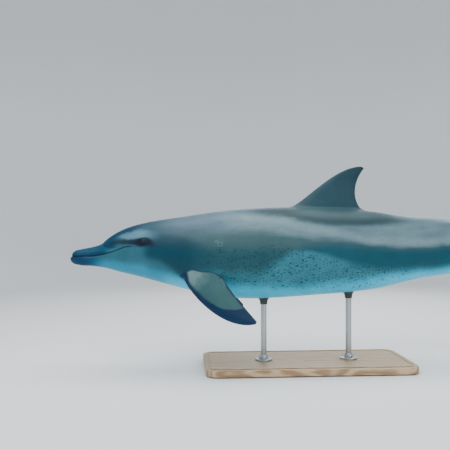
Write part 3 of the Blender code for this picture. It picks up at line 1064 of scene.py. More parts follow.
    def mirror(self) -> None:
        """Closes the half's ends, mirrors it and joins the halves at the mid-plane."""
        mesh, last = self.mesh, len(self.rings) - 1
        corners = {(vert[self.ring_tag], vert[self.loop_tag]): vert for vert in mesh.verts}
        for end, near in ((0, 1), (last, last - 1)):
            for loop in (0, self.loops):
                corners[end, loop].co = corners[near, loop].co
        bmesh.ops.remove_doubles(mesh, verts=mesh.verts, dist=1e-6)
        for vert in mesh.verts:
            if vert[self.loop_tag] in (0, self.loops) and abs(vert.co.y) < 1e-4:
                vert.co.y = 0.0
        parts = mesh.verts[:] + mesh.edges[:] + mesh.faces[:]
        copied = bmesh.ops.mirror(mesh, geom=parts, axis="Y", merge_dist=1e-5)["geom"]
        for item in copied:
            if isinstance(item, bmesh.types.BMVert) and item.co.y > 1e-5:
                item[self.loop_tag] = -item[self.loop_tag]
        bmesh.ops.recalc_face_normals(mesh, faces=mesh.faces)

    def crease(self) -> None:
        """Holds the edges of the lips sharp where the subdivision would round them off."""
        crease = self.mesh.edges.layers.float.new("crease_edge")
        end = next(i for i, along in enumerate(self.rings) if along > self.mouth_end - 0.02)
        for edge in self.mesh.edges:
            loops = {abs(vert[self.loop_tag]) for vert in edge.verts}
            in_mouth = max(vert[self.ring_tag] for vert in edge.verts) < end
            if in_mouth and len(loops) == 1 and abs(loops.pop() - self.loops // 2) == 1:
                edge[crease] = self.lip_crease

    def built(self) -> BMesh:
        """The whole cage, closed, with its fins, lids, mouth and blowhole.

        Returns:
            The cage.
        """
        self.wrap()
        self.grow_eyelids()
        self.grow_fin(self.flipper_patch, self.fins.flipper(), "flipper", -1)
        self.grow_fin(self.fluke_patch, self.fins.fluke(), "fluke", -1)
        self.mirror()
        self.grow_fin(self.dorsal_patch, self.fins.dorsal(), "dorsal", 0)
        self.grow_blowhole()
        self.crease()
        bmesh.ops.recalc_face_normals(self.mesh, faces=self.mesh.faces)
        return self.mesh


# ------------------------------------------------------------------ finishes


@dataclass(frozen=True)
class Finish:
    """What all finishes share: a material with its own nodes, laid by paint()."""

    effects: Effects
    name: ClassVar[str]

    def made(self) -> Material:
        """Makes a Principled BSDF and paints its inputs.

        Returns:
            The material.
        """
        made = bpy.data.materials.new(self.name)
        made.use_nodes = True
        self.paint(Coat(made.node_tree))
        return made

    def tone(self, name: str) -> Colour:
        """One of the finish's tones as a shader colour."""
        return srgb(getattr(self, name))


@dataclass(frozen=True)
class SkinTones:
    """The paint tones of the skin, as screen colours; some are painted sunlight, highlight or shade."""

    back: Tone = (42, 79, 98)
    cape: Tone = (51, 79, 86)
    # painted shade: the dark streak under the dorsal fin, where the flank lies in shade
    shade_streak: Tone = (29, 57, 64)
    # painted highlight: the pale sheen along the top of the tail stock
    tail_top_highlight: Tone = (157, 177, 190)
    crown: Tone = (35, 75, 90)
    # the pale band of the upper flank: partly the skin's paler blaze, partly painted sunlight from above
    blaze_and_sunlight: Tone = (113, 138, 148)
    # painted sunlight on the shoulder, where the pale band runs towards the head
    shoulder: Tone = (86, 112, 130)
    flank: Tone = (54, 86, 92)
    flank_low: Tone = (27, 74, 83)
    # painted shade: the dark flank of the tail stock, below its sunlit upper half
    band: Tone = (14, 73, 88)
    belly_mid: Tone = (48, 115, 131)
    belly: Tone = (49, 195, 232)
    throat: Tone = (23, 138, 169)
    cheek: Tone = (43, 95, 111)
    face: Tone = (8, 57, 73)
    melon: Tone = (6, 54, 80)
    brow: Tone = (86, 126, 146)
    beak: Tone = (3, 50, 80)
    beak_top: Tone = (7, 66, 90)
    jaw_tip: Tone = (3, 53, 87)
    # painted highlight: the pale line along the lower lip, under the mouth
    lip: Tone = (48, 89, 110)
    # painted shade: the dark line in the crease of the mouth
    mouth: Tone = (6, 28, 38)
    eye_patch: Tone = (1, 24, 44)
    fleck: Tone = (3, 46, 58)
    fin: Tone = (35, 69, 80)
    fin_edge: Tone = (24, 56, 66)
    flipper: Tone = (48, 87, 90)
    # painted sunlight: the pale root of the flipper, lit from above
    flipper_root: Tone = (104, 134, 136)
    # painted shade on the flipper's leading band and tip, on its rim and in the crease at its root; along
    # the trailing edge the rim is partly the flipper's own dark edge
    flipper_rim_and_shade: Tone = (3, 39, 70)
    scar: Tone = (112, 140, 150)


@dataclass(frozen=True)
class SkinLines:
    """Where the skin's tones meet, as heights over distances along."""

    bright_belly: Pairs = (
        (0.080, -0.052), (0.137, -0.046), (0.243, -0.052), (0.315, -0.060), (0.385, -0.076),
        (0.454, -0.094), (0.524, -0.112), (0.660, -0.134), (0.763, -0.143), (0.940, -0.152),
        (1.084, -0.152), (1.230, -0.140), (1.379, -0.128), (1.479, -0.110), (1.581, -0.092),
        (1.685, -0.082), (1.836, -0.064), (2.000, -0.036), (2.200, 0.030), (2.430, 0.062),
    )
    dark_low: Pairs = (
        (0.300, -0.030), (0.420, -0.058), (0.520, -0.082), (0.600, -0.096), (0.700, -0.094),
        (0.800, -0.090), (0.880, -0.085), (0.930, -0.066), (0.975, -0.036), (1.010, -0.004),
        (1.045, 0.014), (1.120, 0.012), (1.167, 0.002), (1.250, -0.022), (1.363, -0.050), (1.466, -0.063),
        (1.571, -0.068), (1.732, -0.068), (1.831, -0.058), (2.000, -0.030), (2.200, 0.036),
        (2.430, 0.064),
    )
    dark_top: Pairs = (
        (0.400, 0.050), (0.500, 0.050), (0.600, 0.036), (0.700, 0.020), (0.800, 0.018),
        (0.900, 0.020), (1.000, 0.022), (1.060, 0.028), (1.111, 0.042), (1.168, 0.046),
        (1.289, 0.044), (1.463, 0.032), (1.592, 0.020), (1.724, 0.024), (1.824, 0.034),
        (2.000, 0.056), (2.200, 0.075),
    )
    blaze_low: Pairs = (
        (0.400, 0.112), (0.454, 0.114), (0.524, 0.112), (0.638, 0.106), (0.799, 0.112),
        (0.891, 0.108), (1.005, 0.090), (1.097, 0.076), (1.216, 0.070), (1.314, 0.060),
        (1.464, 0.045), (1.592, 0.030), (1.724, 0.034), (1.824, 0.046), (2.000, 0.066),
        (2.200, 0.080),
    )
    # middle of a band of painted sunlight on the upper flank of the tail stock
    sunlit_band: Pairs = (
        (0.900, 0.150), (1.000, 0.146), (1.100, 0.118), (1.200, 0.102), (1.300, 0.086),
        (1.400, 0.064), (1.500, 0.056), (1.600, 0.050), (1.700, 0.052), (1.830, 0.062),
        (2.000, 0.080), (2.200, 0.090),
    )
    blaze_top: Pairs = (
        (0.380, 0.170), (0.476, 0.185), (0.571, 0.200), (0.690, 0.206), (0.806, 0.192),
        (0.946, 0.182), (1.087, 0.160), (1.160, 0.142), (1.225, 0.132), (1.333, 0.126),
        (1.477, 0.132), (1.561, 0.148), (1.674, 0.166), (1.806, 0.160), (2.000, 0.110),
        (2.200, 0.070), (2.430, 0.064),
    )
    # middle of the streak of painted shade under the dorsal fin
    shade_streak_line: Pairs = (
        (0.800, 0.200), (0.900, 0.196), (1.000, 0.186), (1.100, 0.168), (1.200, 0.154),
        (1.300, 0.148), (1.400, 0.148), (1.500, 0.150), (1.600, 0.152), (1.700, 0.153), (1.850, 0.158),
    )
    flecks_top: Pairs = (
        (0.600, 0.020), (0.660, 0.033), (0.796, 0.030), (0.911, 0.034), (1.003, 0.038),
        (1.072, 0.024), (1.167, 0.000), (1.313, -0.036), (1.466, -0.050), (1.600, -0.060),
        (2.000, -0.030),
    )
    flecks_low: Pairs = (
        (0.600, -0.100), (0.775, -0.124), (0.891, -0.142), (1.083, -0.165), (1.281, -0.168),
        (1.433, -0.160), (1.534, -0.140), (2.000, -0.060),
    )
    face_top: Pairs = (
        (0.150, 0.010), (0.300, 0.060), (0.394, 0.070), (0.454, 0.084), (0.524, 0.080),
        (0.592, 0.062), (0.660, 0.030), (0.740, -0.010),
    )
    face_low: Pairs = (
        (0.300, 0.000), (0.370, -0.022), (0.423, -0.036), (0.478, -0.064), (0.530, -0.108),
        (0.580, -0.134), (0.660, -0.116), (0.740, -0.090),
    )
    eye_line: Pairs = (
        (0.150, 0.034), (0.162, 0.041), (0.204, 0.048), (0.242, 0.053), (0.291, 0.055),
        (0.329, 0.056), (0.355, 0.054), (0.400, 0.046),
    )
    melon_low: Pairs = (
        (0.150, 0.044), (0.200, 0.060), (0.240, 0.078), (0.290, 0.099), (0.340, 0.121),
        (0.400, 0.150), (0.460, 0.186),
    )
    mouth: Pairs = ((0.000, -0.016), *MOUTH_LINE)
    flipper_foot: Pairs = (
        (-0.050, -0.030), (0.000, -0.014), (0.030, 0.000), (0.045, 0.010), (0.056, 0.029),
        (0.070, 0.058), (0.090, 0.086), (0.103, 0.115), (0.120, 0.190),
    )
    # edge of the painted shade on the flipper's leading band and tip, as chord over span
    flipper_shade_line: Pairs = (
        (-0.030, 0.036), (0.000, 0.028), (0.022, 0.008), (0.038, -0.002), (0.066, -0.010),
        (0.100, -0.015), (0.150, -0.017), (0.190, -0.015), (0.220, -0.010), (0.250, 0.000),
        (0.280, 0.020), (0.306, 0.043), (0.340, 0.100),
    )
    flipper_rear: Pairs = (
        (0.000, 0.060), (0.080, 0.100), (0.140, 0.106), (0.170, 0.101), (0.195, 0.085),
        (0.248, 0.071), (0.308, 0.058), (0.400, 0.040),
    )


class Whereabouts:
    """The coordinates that the skin's pattern is drawn with.

    along, side and height are counted from the beak's tip and the body line; folded has the
    right side laid over the left, and unrolled has the girth as its second coordinate.
    """

    girth_per_turn, side_gap = 0.19, 5.0

    def __init__(self, bench: NodeBench, own: Wire) -> None:
        """Splits the coordinates.

        Args:
            bench: the material's bench.
            own: the place counted from the beak's tip and the body line.
        """
        self.bench, self.own = bench, own
        parts = bench.add("SeparateXYZ", {"Vector": own})
        self.along, self.side, self.height = (Wire(bench, part) for part in parts.outputs)
        self.folded = bench.lay("CombineXYZ", {"X": self.along, "Y": abs(self.side), "Z": self.height})
        angle = bench.math("ARCTAN2", self.height, abs(self.side))
        girth = angle * self.girth_per_turn + self.side.rise(-0.001, 0.001) * self.side_gap
        self.unrolled = bench.lay("CombineXYZ", {"X": self.along, "Y": girth})

    def mask(self, name: str) -> Wire:
        """An attribute of the mesh."""
        return self.bench.lay("Attribute", out="Fac", attribute_name=name)


@dataclass
class Layers:
    """Masks for tones that lie in layers, one above the other, along the body."""

    bench: NodeBench
    along: Wire
    height: Wire

    def over(self, line: Pairs, below: Feed, above: Feed) -> Wire:
        """A mask that rises across a line from so far below it to so far above it."""
        edge = self.bench.profile(self.along, line)
        return self.height.rise(edge - below, edge + above)

    def under(self, line: Pairs, below: Feed, above: Feed) -> Wire:
        """A mask that falls across a line from so far below it to so far above it."""
        return 1.0 - self.over(line, below, above)

    def near(self, line: Pairs, reach: float) -> Wire:
        """A mask that is full on a line and gone at a distance above and below it."""
        return abs(self.height - self.bench.profile(self.along, line)).rise(reach, 0.0)


class SkinPainter:
    """Paints the skin: each step lays its tones over what is there already."""

    def __init__(self, finish: "SkinFinish", bench: Coat, own: Wire) -> None:
        """Sets the painter to work.

        Args:
            finish: the finish with its tones and lines.
            bench: the material's bench.
            own: the place counted from the beak's tip and the body line.
        """
        self.finish, self.bench = finish, bench
        self.lines = finish.lines
        self.place = Whereabouts(bench, own)
        self.along, self.height = self.place.along, self.place.height

    def tone(self, name: str) -> Colour:
        """A tone as a shader colour."""
        return srgb(getattr(self.finish.tones, name))

    def between(self, mask: Wire, first: str, second: str) -> Wire:
        """A tone that goes over into another where a mask is full."""
        return self.bench.mix(mask, self.tone(first), self.tone(second))

    def lay(self, mask: Wire, tone: str | Wire) -> None:
        """Lays a tone over the colour where a mask is full."""
        above = self.tone(tone) if isinstance(tone, str) else tone
        self.colour = self.bench.mix(mask, self.colour, above)

    def paint(self) -> tuple[Wire, Wire]:
        """Paints the whole skin.

        Returns:
            Its colour and the mask of its scars.
        """
        self.paint_body()
        self.paint_head()
        self.paint_mouth()
        self.paint_fins()
        self.paint_flippers()
        self.paint_flecks()
        marks = self.paint_scars()
        return self.colour, marks

    def paint_body(self) -> None:
        """The trunk's and tail's tones, from the belly up to the back, with painted sunlight and shade on
        the upper flank and tail stock.
        """
        bench, lines, along = self.bench, self.lines, self.along
        streaky = bench.noise(bench.stretched(self.place.own, (2.4, 9.0, 13.0)), 1.7, 3.0, 0.6)
        uneven = streaky + bench.noise(self.place.own, 9.0, 3.0, 0.55) - 1.0
        shift = uneven * bench.mix_value(along.rise(1.0, 1.3), 0.032, 0.018)
        band = Layers(bench, along, self.height + shift)
        front = along.rise(1.06, 0.90)
        soft = front * 0.026 + 0.018
        fading = bench.mix_value(along.rise(1.18, 1.45), soft, 0.048)
        belly = self.between(band.over(lines.bright_belly, 0.034, 0.030), "belly", "belly_mid")
        # behind about 1.1 m along the lower flank takes the band tone: painted shade below the sunlit upper
        # half of the tail stock
        dark = self.between(along.rise(1.02, 1.18), "flank_low", "band")
        self.colour = bench.mix(band.over(lines.dark_low, fading, soft), belly, dark)
        self.lay(band.over(lines.dark_top, 0.032, front * 0.020 + 0.024), "flank")
        # the pale band of the upper flank: partly paler skin, partly painted sunlight from above, in the
        # shoulder tone towards the head
        blaze_and_sunlight = band.over(lines.blaze_low, front * 0.014 + 0.020, soft)
        thin = streaky * 1.10 + bench.mix_value(along.rise(0.86, 1.02), 0.24, 0.08)
        shown = bench.math("MULTIPLY", blaze_and_sunlight, thin, clamp=True)
        self.lay(shown, self.between(along.rise(0.84, 0.66), "blaze_and_sunlight", "shoulder"))
        # painted highlight: a pale sheen along the top of the tail stock, from about 1.5 to 2.15 m along
        tail_highlight_mask = along.rise(1.50, 1.76) * along.rise(2.15, 1.85)
        top = self.between(along.rise(0.82, 1.02), "back", "cape")
        top = bench.mix(tail_highlight_mask, top, self.tone("tail_top_highlight"))
        self.lay(band.over(lines.blaze_top, 0.020, 0.022), top)
        # painted sunlight: a pale band in the blaze tone on the upper flank of the tail stock, as if lit
        # from above
        sunlit_band = band.near(lines.sunlit_band, 0.034) * along.rise(0.86, 1.02) * along.rise(2.2, 1.9)
        self.lay(bench.math("MULTIPLY", sunlit_band, streaky * 1.1 + 0.25, clamp=True), "blaze_and_sunlight")
        # painted shade: a dark streak under the dorsal fin
        shade_streak = band.near(lines.shade_streak_line, 0.030) * along.rise(0.82, 1.02) * along.rise(1.82, 1.50)
        self.lay(shade_streak * 0.85, "shade_streak")

    def paint_head(self) -> None:
        """The face: dark mask and melon, pale brow and throat, a stripe from eye to beak."""
        bench, lines, along, form = self.bench, self.lines, self.along, self.finish.form
        self.drift = bench.noise(self.place.own, 16.0, 3.0, 0.6) * 0.022 + -0.011
        height = self.height + self.drift
        band = Layers(bench, along, height)
        throat = self.between(band.over(lines.bright_belly, 0.014, 0.034), "throat", "cheek")
        self.lay(along.rise(0.56, 0.38) * height.rise(0.050, 0.020), throat)
        self.lay(along.rise(0.560, 0.360) * height.rise(0.050, 0.072), "crown")
        brow = along.rise(0.205, 0.260) * along.rise(0.440, 0.330)
        self.lay(brow * height.rise(0.064, 0.076) * height.rise(0.118, 0.096), "brow")
        front = band.over(lines.melon_low, 0.010, 0.014) * along.rise(0.430, 0.310)
        self.lay(front | along.rise(0.250, 0.190) * height.rise(0.012, 0.030), "melon")
        mask = band.over(lines.face_low, 0.022, 0.024) * band.under(lines.face_top, 0.022, 0.022)
        self.lay(mask * along.rise(0.330, 0.390) * along.rise(0.720, 0.520) * 0.94, "face")
        wide = along.rise(0.20, 0.35) * 0.004 + 0.013
        off_line = abs(height - bench.profile(along, lines.eye_line))
        stripe = off_line.rise(wide, wide * 0.3) * along.rise(0.160, 0.200) * along.rise(0.430, 0.375)
        self.lay(stripe * (along.rise(0.200, 0.340) * 0.35 + 0.60), "eye_patch")
        eye_x = (along - (form.eye_along - 0.002)) / 0.043
        eye_z = (height - (form.eye_height - 0.001)) / 0.021
        self.lay(bench.math("SQRT", eye_x**2.0 + eye_z**2.0).rise(1.30, 0.60), "eye_patch")

    def paint_mouth(self) -> None:
        """The beak: dark above, a dark jaw tip, a pale lower lip of painted highlight, and painted shade in
        the gap of the mouth.
        """
        along, mouth = self.along, self.bench.profile(self.along, self.lines.mouth)
        above = self.height.rise(mouth, mouth + 0.002)
        ridge = (self.height + self.drift - mouth).rise(0.008, 0.024)
        self.lay(along.rise(0.205, 0.150) * above, self.between(ridge, "beak", "beak_top"))
        self.lay((along + self.drift * 1.5).rise(0.185, 0.070) * (1.0 - above), "jaw_tip")
        # painted highlight: a pale line along the lower lip, just under the mouth
        off_mouth = self.height - mouth
        rim = off_mouth.rise(-0.0135, -0.0050) * off_mouth.rise(0.0, -0.0015)
        self.lay(rim * along.rise(0.040, 0.090) * along.rise(0.300, 0.220) * 0.65, "lip")
        # painted shade: a dark line along the crease of the mouth
        self.lay(abs(off_mouth).rise(0.0026, 0.0008) * along.rise(0.307, 0.290) * 0.85, "mouth")

    def paint_fins(self) -> None:
        """Back fin and flukes: darker towards their edges, the flukes paler below."""
        self.fringe = self.bench.noise(self.place.own, 24.0, 3.0, 0.6) * 0.25 + -0.12
        dorsal = self.place.mask("dorsal") + self.fringe * 0.4
        self.lay(dorsal.rise(0.0, 0.10), self.between(dorsal.rise(0.35, 0.95), "fin", "fin_edge"))
        fluke = self.place.mask("fluke")
        blade = self.between((fluke + self.fringe).rise(0.45, 0.9), "fin", "fin_edge")
        blade = self.bench.mix(self.height.rise(0.066, 0.050) * 0.55, blade, self.tone("belly_mid"))
        self.lay(fluke.rise(0.0, 0.16), blade)

    def paint_flippers(self) -> None:
        """The flippers: painted sunlight on the pale root, painted shade on the leading band and tip, and a
        dark, ragged rim, partly their own dark edge and partly painted shade.
        """
        bench, lines, fins, fringe = self.bench, self.lines, self.finish.fins, self.fringe
        move = {"Vector": self.place.folded, "Location": tuple(-fins.flipper_root)}
        shoulder = bench.lay("Mapping", move)
        span, chord, out = (
            bench.vector("DOT_PRODUCT", shoulder, axis, "Value")
            for axis in (fins.flipper_span, fins.flipper_chord, fins.flipper_outwards)
        )
        # painted shade: the flipper's leading band and tip are dark, the parts that face away from the light
        edge = fringe * 0.05 + bench.profile(span, lines.flipper_shade_line)
        soft = bench.mix_value(span.rise(0.12, 0.24), 0.010, 0.004)
        # painted sunlight: the flipper is paler towards its root
        pale = self.between((fringe * 0.3 + span).rise(0.120, 0.020), "flipper", "flipper_root")
        flipper = bench.mix(chord.rise(edge - soft, edge + soft), self.tone("flipper_rim_and_shade"), pale)
        # a dark, ragged rim along the trailing edge: partly the flipper's own dark edge, partly painted
        # shade where it meets the body
        rear = fringe * 0.06 + (bench.profile(span, lines.flipper_rear) - chord)
        flipper = bench.mix(rear.rise(0.009, 0.003), flipper, self.tone("flipper_rim_and_shade"))
        beyond = fringe * 0.03 + (span - bench.profile(chord, lines.flipper_foot))
        facing = out.rise(-0.004, 0.004) * out.rise(0.070, 0.055)
        on_body = facing * rear.rise(-0.003, 0.002) * chord.rise(-0.014, -0.004) * span.rise(0.150, 0.120)
        on_both = self.place.mask("flipper").rise(0.003, 0.02) | on_body
        self.lay(on_both * beyond.rise(-0.004, 0.003), flipper)
        # painted shade: a dark line in the crease where the flipper meets the body
        self.lay(on_both * facing * abs(beyond).rise(0.008, 0.002) * 0.7, "flipper_rim_and_shade")

    def paint_flecks(self) -> None:
        """Mottling all over, and dark flecks in three sizes on the lower flank and belly."""
        bench, lines, along, effects = self.bench, self.lines, self.along, self.finish.effects
        mottle = effects.use(bench, effects.mottle, self.place.own, size=0.075, grain=0.32)
        cloud = mottle.rise(0.34, 0.68)
        self.colour = bench.clouded(self.colour, cloud, (0.84, 0.86, 0.87))
        band = Layers(bench, along, self.height)
        zone = band.over(lines.flecks_low, 0.045, 0.060) * band.under(lines.flecks_top, 0.030, 0.020)
        zone = zone * along.rise(0.58, 0.80) * along.rise(2.00, 1.40)
        fine, flecks, smears = (
            self.flecks(scale, share, zone) for scale, share in ((190.0, 0.60), (122.0, 0.60), (74.0, 0.30))
        )
        self.lay((fine * 0.7 | smears * 0.85 | flecks) * 0.85, "fleck")

    def flecks(self, scale: float, share: float, zone: Wire) -> Wire:
        """Small dark flecks drawn out lengthways, in part of a net of cells.

        Args:
            scale: cells per metre.
            share: the share of cells that hold a fleck where the zone is full.
            zone: where flecks lie.

        Returns:
            The mask.
        """
        bench = self.bench
        feeds = {"Vector": bench.stretched(self.place.unrolled, (0.50, 1.0, 1.0)), "Scale": scale}
        cells = bench.add("TexVoronoi", {**feeds, "Randomness": 1.0}, voronoi_dimensions="2D").outputs
        chance = bench.add("SeparateColor", {"Color": Wire(bench, cells["Color"])}).outputs
        chosen = (zone * share - Wire(bench, chance["Red"])).rise(0.0, 0.04)
        size = Wire(bench, chance["Green"]) * 0.26 + 0.14
        return Wire(bench, cells["Distance"]).rise(size, size * 0.55) * chosen

    def paint_scars(self) -> Wire:
        """Old ring marks and fine rakes of teeth.

        Returns:
            Their mask.
        """
        bench, place, form, effects = self.bench, self.place, self.finish.form, self.finish.effects
        spots: list[Wire] = []
        for ring_along, ring_height, radius in self.finish.rings:
            middle = form.on_left(ring_along, ring_height) - form.zero
            reach = bench.vector("DISTANCE", place.own, middle, "Value")
            reach = reach + (bench.noise(place.own, 60.0) * 0.006 + -0.003)
            spots.append(abs(reach - radius).rise(0.0028, 0.0006))
        drawn_out = bench.stretched(place.own, (0.55, 1.0, 1.5))
        rakes = effects.use(bench, effects.scuffs, drawn_out, size=0.16, amount=0.45)
        marks = rakes * 0.6 | (spots[0] | spots[1]) * 0.6
        self.lay(marks * 0.42, "scar")
        return marks


@dataclass(frozen=True)
class SkinFinish(Finish):
    """Satin skin: dark back, pale speckled belly, dark face and fins; painted shade darkens the flipper
    tips, and painted sunlight, highlights and shade lie on flanks, tail and lips.
    """

    form: BodyForm
    fins: FinSet
    tones: SkinTones = SkinTones()
    lines: SkinLines = SkinLines()
    rings: tuple[Triple, ...] = ((0.706, 0.046, 0.010), (0.691, 0.057, 0.006))
    name: ClassVar[str] = "skin"

    def paint(self, bench: Coat) -> None:
        """Lays the pattern, and a bump of fine grain, shallow waves and shallow scars.

        Args:
            bench: the material's bench.
        """
        own = bench.lay("Mapping", {"Vector": bench.space, "Location": tuple(-self.form.zero)})
        colour, marks = SkinPainter(self, bench, own).paint()
        grain = bench.noise(own, 420.0, 3.0, 0.6)
        waves = bench.noise(bench.stretched(own, (1.0, 1.6, 1.6)), 11.0, 2.0, 0.45)
        rough = bench.noise(own, 18.0, 3.0, 0.6) * 0.16 + 0.38
        bench.shader.inputs["Specular IOR Level"].default_value = 0.18
        height = grain * 0.00006 + waves * 0.0012 - marks * 0.00025
        bench.dress(colour, rough, height, 0.9)


@dataclass(frozen=True)
class EyeFinish(Finish):
    """A glossy dark eye: brown iris with fine rays, a wide black pupil, a dark white."""

    name: str
    centre: Vector
    outward: Vector
    iris_radius: float = 0.0086
    pupil_size: Pair = (0.0048, 0.0033)
    iris: Tone = (15, 13, 12)
    iris_rim: Tone = (7, 7, 8)
    pupil: Tone = (3, 3, 4)
    white: Tone = (26, 26, 28)

    def paint(self, bench: Coat) -> None:
        """Lays white, iris and pupil round the eye's axis.

        Args:
            bench: the material's bench.
        """
        own = bench.vector("SUBTRACT", bench.space, self.centre)
        sideways = Vector((0, 0, 1)).cross(self.outward).normalized()
        upright = self.outward.cross(sideways).normalized()
        across, up = (bench.vector("DOT_PRODUCT", own, axis, "Value") for axis in (sideways, upright))
        away = bench.math("SQRT", across**2.0 + up**2.0)
        turn = bench.math("ARCTAN2", up, across)
        rays = bench.noise(bench.lay("CombineXYZ", {"X": turn * 9.0, "Y": away * 90.0}), 2.0, 3.0)
        radius = self.iris_radius
        iris = bench.mix(rays, self.tone("iris_rim"), self.tone("iris"))
        iris = bench.mix(away.rise(radius * 0.72, radius), iris, self.tone("iris_rim"))
        veins = bench.noise(own, 260.0, 4.0, 0.7)
        white = bench.mix(veins.rise(0.45, 0.7), self.tone("white"), (0.040, 0.016, 0.013, 1))
        colour = bench.mix(away.rise(radius * 0.97, radius * 1.05), iris, white)
        wide, tall = self.pupil_size
        inside = (across / wide) ** 2.0 + (up / tall) ** 2.0
        colour = bench.mix(inside.rise(1.15, 0.85), colour, self.tone("pupil"))
        for name, value in (("Coat Weight", 0.5), ("Coat Roughness", 0.02), ("Specular IOR Level", 0.15)):
            bench.shader.inputs[name].default_value = value
        bench.dress(colour, veins * 0.05 + 0.06, None)


@dataclass(frozen=True)
class BoardFinish(Finish):
    """Oiled pale oak: long grain and open pores. long grain, open pores, darker end grain towards the rim.
    """

    light: Tone = (196, 170, 134)
    dark: Tone = (150, 118, 82)
    pore: Tone = (104, 76, 50)
    name: ClassVar[str] = "oiled_oak"

    def paint(self, bench: Coat) -> None:
        """Lays the wood.

        Args:
            bench: the material's bench.
        """
        bend = bench.noise(bench.stretched(bench.space, (1.2, 4.0, 4.0)), 2.2) * 0.10 + -0.05
        pushed = bench.vector("ADD", bench.space, bench.lay("CombineXYZ", {"Y": bend}))
        wave = {"Scale": 16.0, "Distortion": 3.0, "Detail": 3.0, "Detail Scale": 1.2}
        wave["Vector"] = bench.stretched(pushed, (0.35, 1.0, 1.0))
        rings = bench.lay("TexWave", wave, "Fac", wave_type="BANDS", bands_direction="Y")
        fibre = bench.noise(bench.stretched(pushed, (5.0, 240.0, 240.0)), 1.0, 4.0, 0.6)
        grain = rings * 0.6 + fibre * 0.4
        colour = bench.mix(grain.rise(0.2, 0.8), self.tone("light"), self.tone("dark"))
        pore = bench.noise(bench.stretched(pushed, (26.0, 900.0, 900.0)), 1.0).rise(0.62, 0.70)
        colour = bench.mix(pore * 0.45, colour, self.tone("pore"))
        mottle = self.effects.use(bench, self.effects.mottle, bench.space, size=0.30, grain=0.15)
        colour = bench.clouded(colour, mottle.rise(0.3, 0.7), (0.86, 0.86, 0.86))
        bench.dress(colour, grain * 0.14 + 0.38, fibre * 0.00008 - pore * 0.00015, 0.7)


@dataclass(frozen=True)
class SteelFinish(Finish):
    """Brushed stainless steel, brushed round the rods."""

    light: Tone = (188, 190, 192)
    shade: Tone = (150, 152, 155)
    name: ClassVar[str] = "brushed_steel"

    def paint(self, bench: Coat) -> None:
        """Lays the metal.

        Args:
            bench: the material's bench.
        """
        lines = bench.noise(bench.stretched(bench.space, (6.0, 6.0, 2600.0)), 1.0, 2.0, 0.7)
        mottle = self.effects.use(bench, self.effects.mottle, bench.space, size=0.05, grain=0.2)
        tone = lines * 0.6 + mottle * 0.4
        colour = bench.mix(tone, self.tone("shade"), self.tone("light"))
        bench.shader.inputs["Metallic"].default_value = 1.0
        bench.dress(colour, tone * 0.22 + 0.22, lines * 0.00002)


@dataclass(frozen=True)
class PlainFinish(Finish):
    """A matt finish of two tones in clouds, such as rubber or wall paint.

    clouds is the size and grain of the clouds, spread the values between which one tone
    goes over into the other, rough how much of the clouds is in the roughness and its least
    value, and depth the height of the bump in metres, or 0.
    """

    name: str
    low: Tone
    high: Tone
    clouds: Pair
    spread: Pair | None
    rough: Pair
    depth: float

    def paint(self, bench: Coat) -> None:
        """Lays the clouds.

        Args:
            bench: the material's bench.
        """
        size, grain = self.clouds
        mottle = self.effects.use(bench, self.effects.mottle, bench.space, size=size, grain=grain)
        share = mottle.rise(*self.spread) if self.spread else mottle
        colour = bench.mix(share, self.tone("low"), self.tone("high"))
        height = mottle * self.depth if self.depth else None
        bench.dress(colour, mottle * self.rough[0] + self.rough[1], height)


# ------------------------------------------------------------------ pieces


def piece_from(mesh: BMesh, name: str, finish: Material) -> bpy.types.Object:
    """Makes an object of a bmesh and frees the bmesh.

    Args:
        mesh: the bmesh.
        name: the piece's name.
        finish: its material.

    Returns:
        The object, at the origin.
    """
    for face in mesh.faces:
        face.smooth = True
    data = bpy.data.meshes.new(name)
    mesh.to_mesh(data)
    mesh.free()
    data.materials.append(finish)
    made = bpy.data.objects.new(name, data)
    bpy.context.scene.collection.objects.link(made)
    return made


def subdivided(piece: bpy.types.Object, levels: int) -> bpy.types.Object:
    """Gives a piece a subdivision surface and makes its result the piece's mesh.

    Args:
        piece: the piece.
        levels: how often each face is divided.

    Returns:
        The piece.
    """
    modifier = piece.modifiers.new("subdivision", "SUBSURF")
    modifier.levels = modifier.render_levels = levels
    evaluated = piece.evaluated_get(bpy.context.evaluated_depsgraph_get())
    fine = bpy.data.meshes.new_from_object(evaluated)
    piece.modifiers.clear()
    coarse, piece.data = piece.data, fine
    bpy.data.meshes.remove(coarse)
    fine.name = piece.name
    fine.shade_smooth()
    return piece


def settled(piece: bpy.types.Object, slot: str, *nodes: str) -> None:
    """Puts a finished piece on the body and hides the CAD nodes it stands for.

    Args:
        piece: the piece.
        slot: the record's material slot; not used.
        nodes: the CAD nodes it stands for.
    """
    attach(piece, "root")
    if nodes:
        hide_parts(*nodes)
    LOG.info("%s: %d faces", piece.name, len(piece.data.polygons))


def softened(mesh: BMesh, edges: Sequence[bmesh.types.BMEdge], radius: float, steps: int) -> None:
    """Rounds edges off.

    Args:
        mesh: the mesh.
        edges: its edges.
        radius: how far the rounding reaches.
        steps: faces across it.
    """
    bmesh.ops.bevel(
        mesh, geom=edges, offset=radius, segments=steps, profile=0.5, affect="EDGES", material=-1
    )


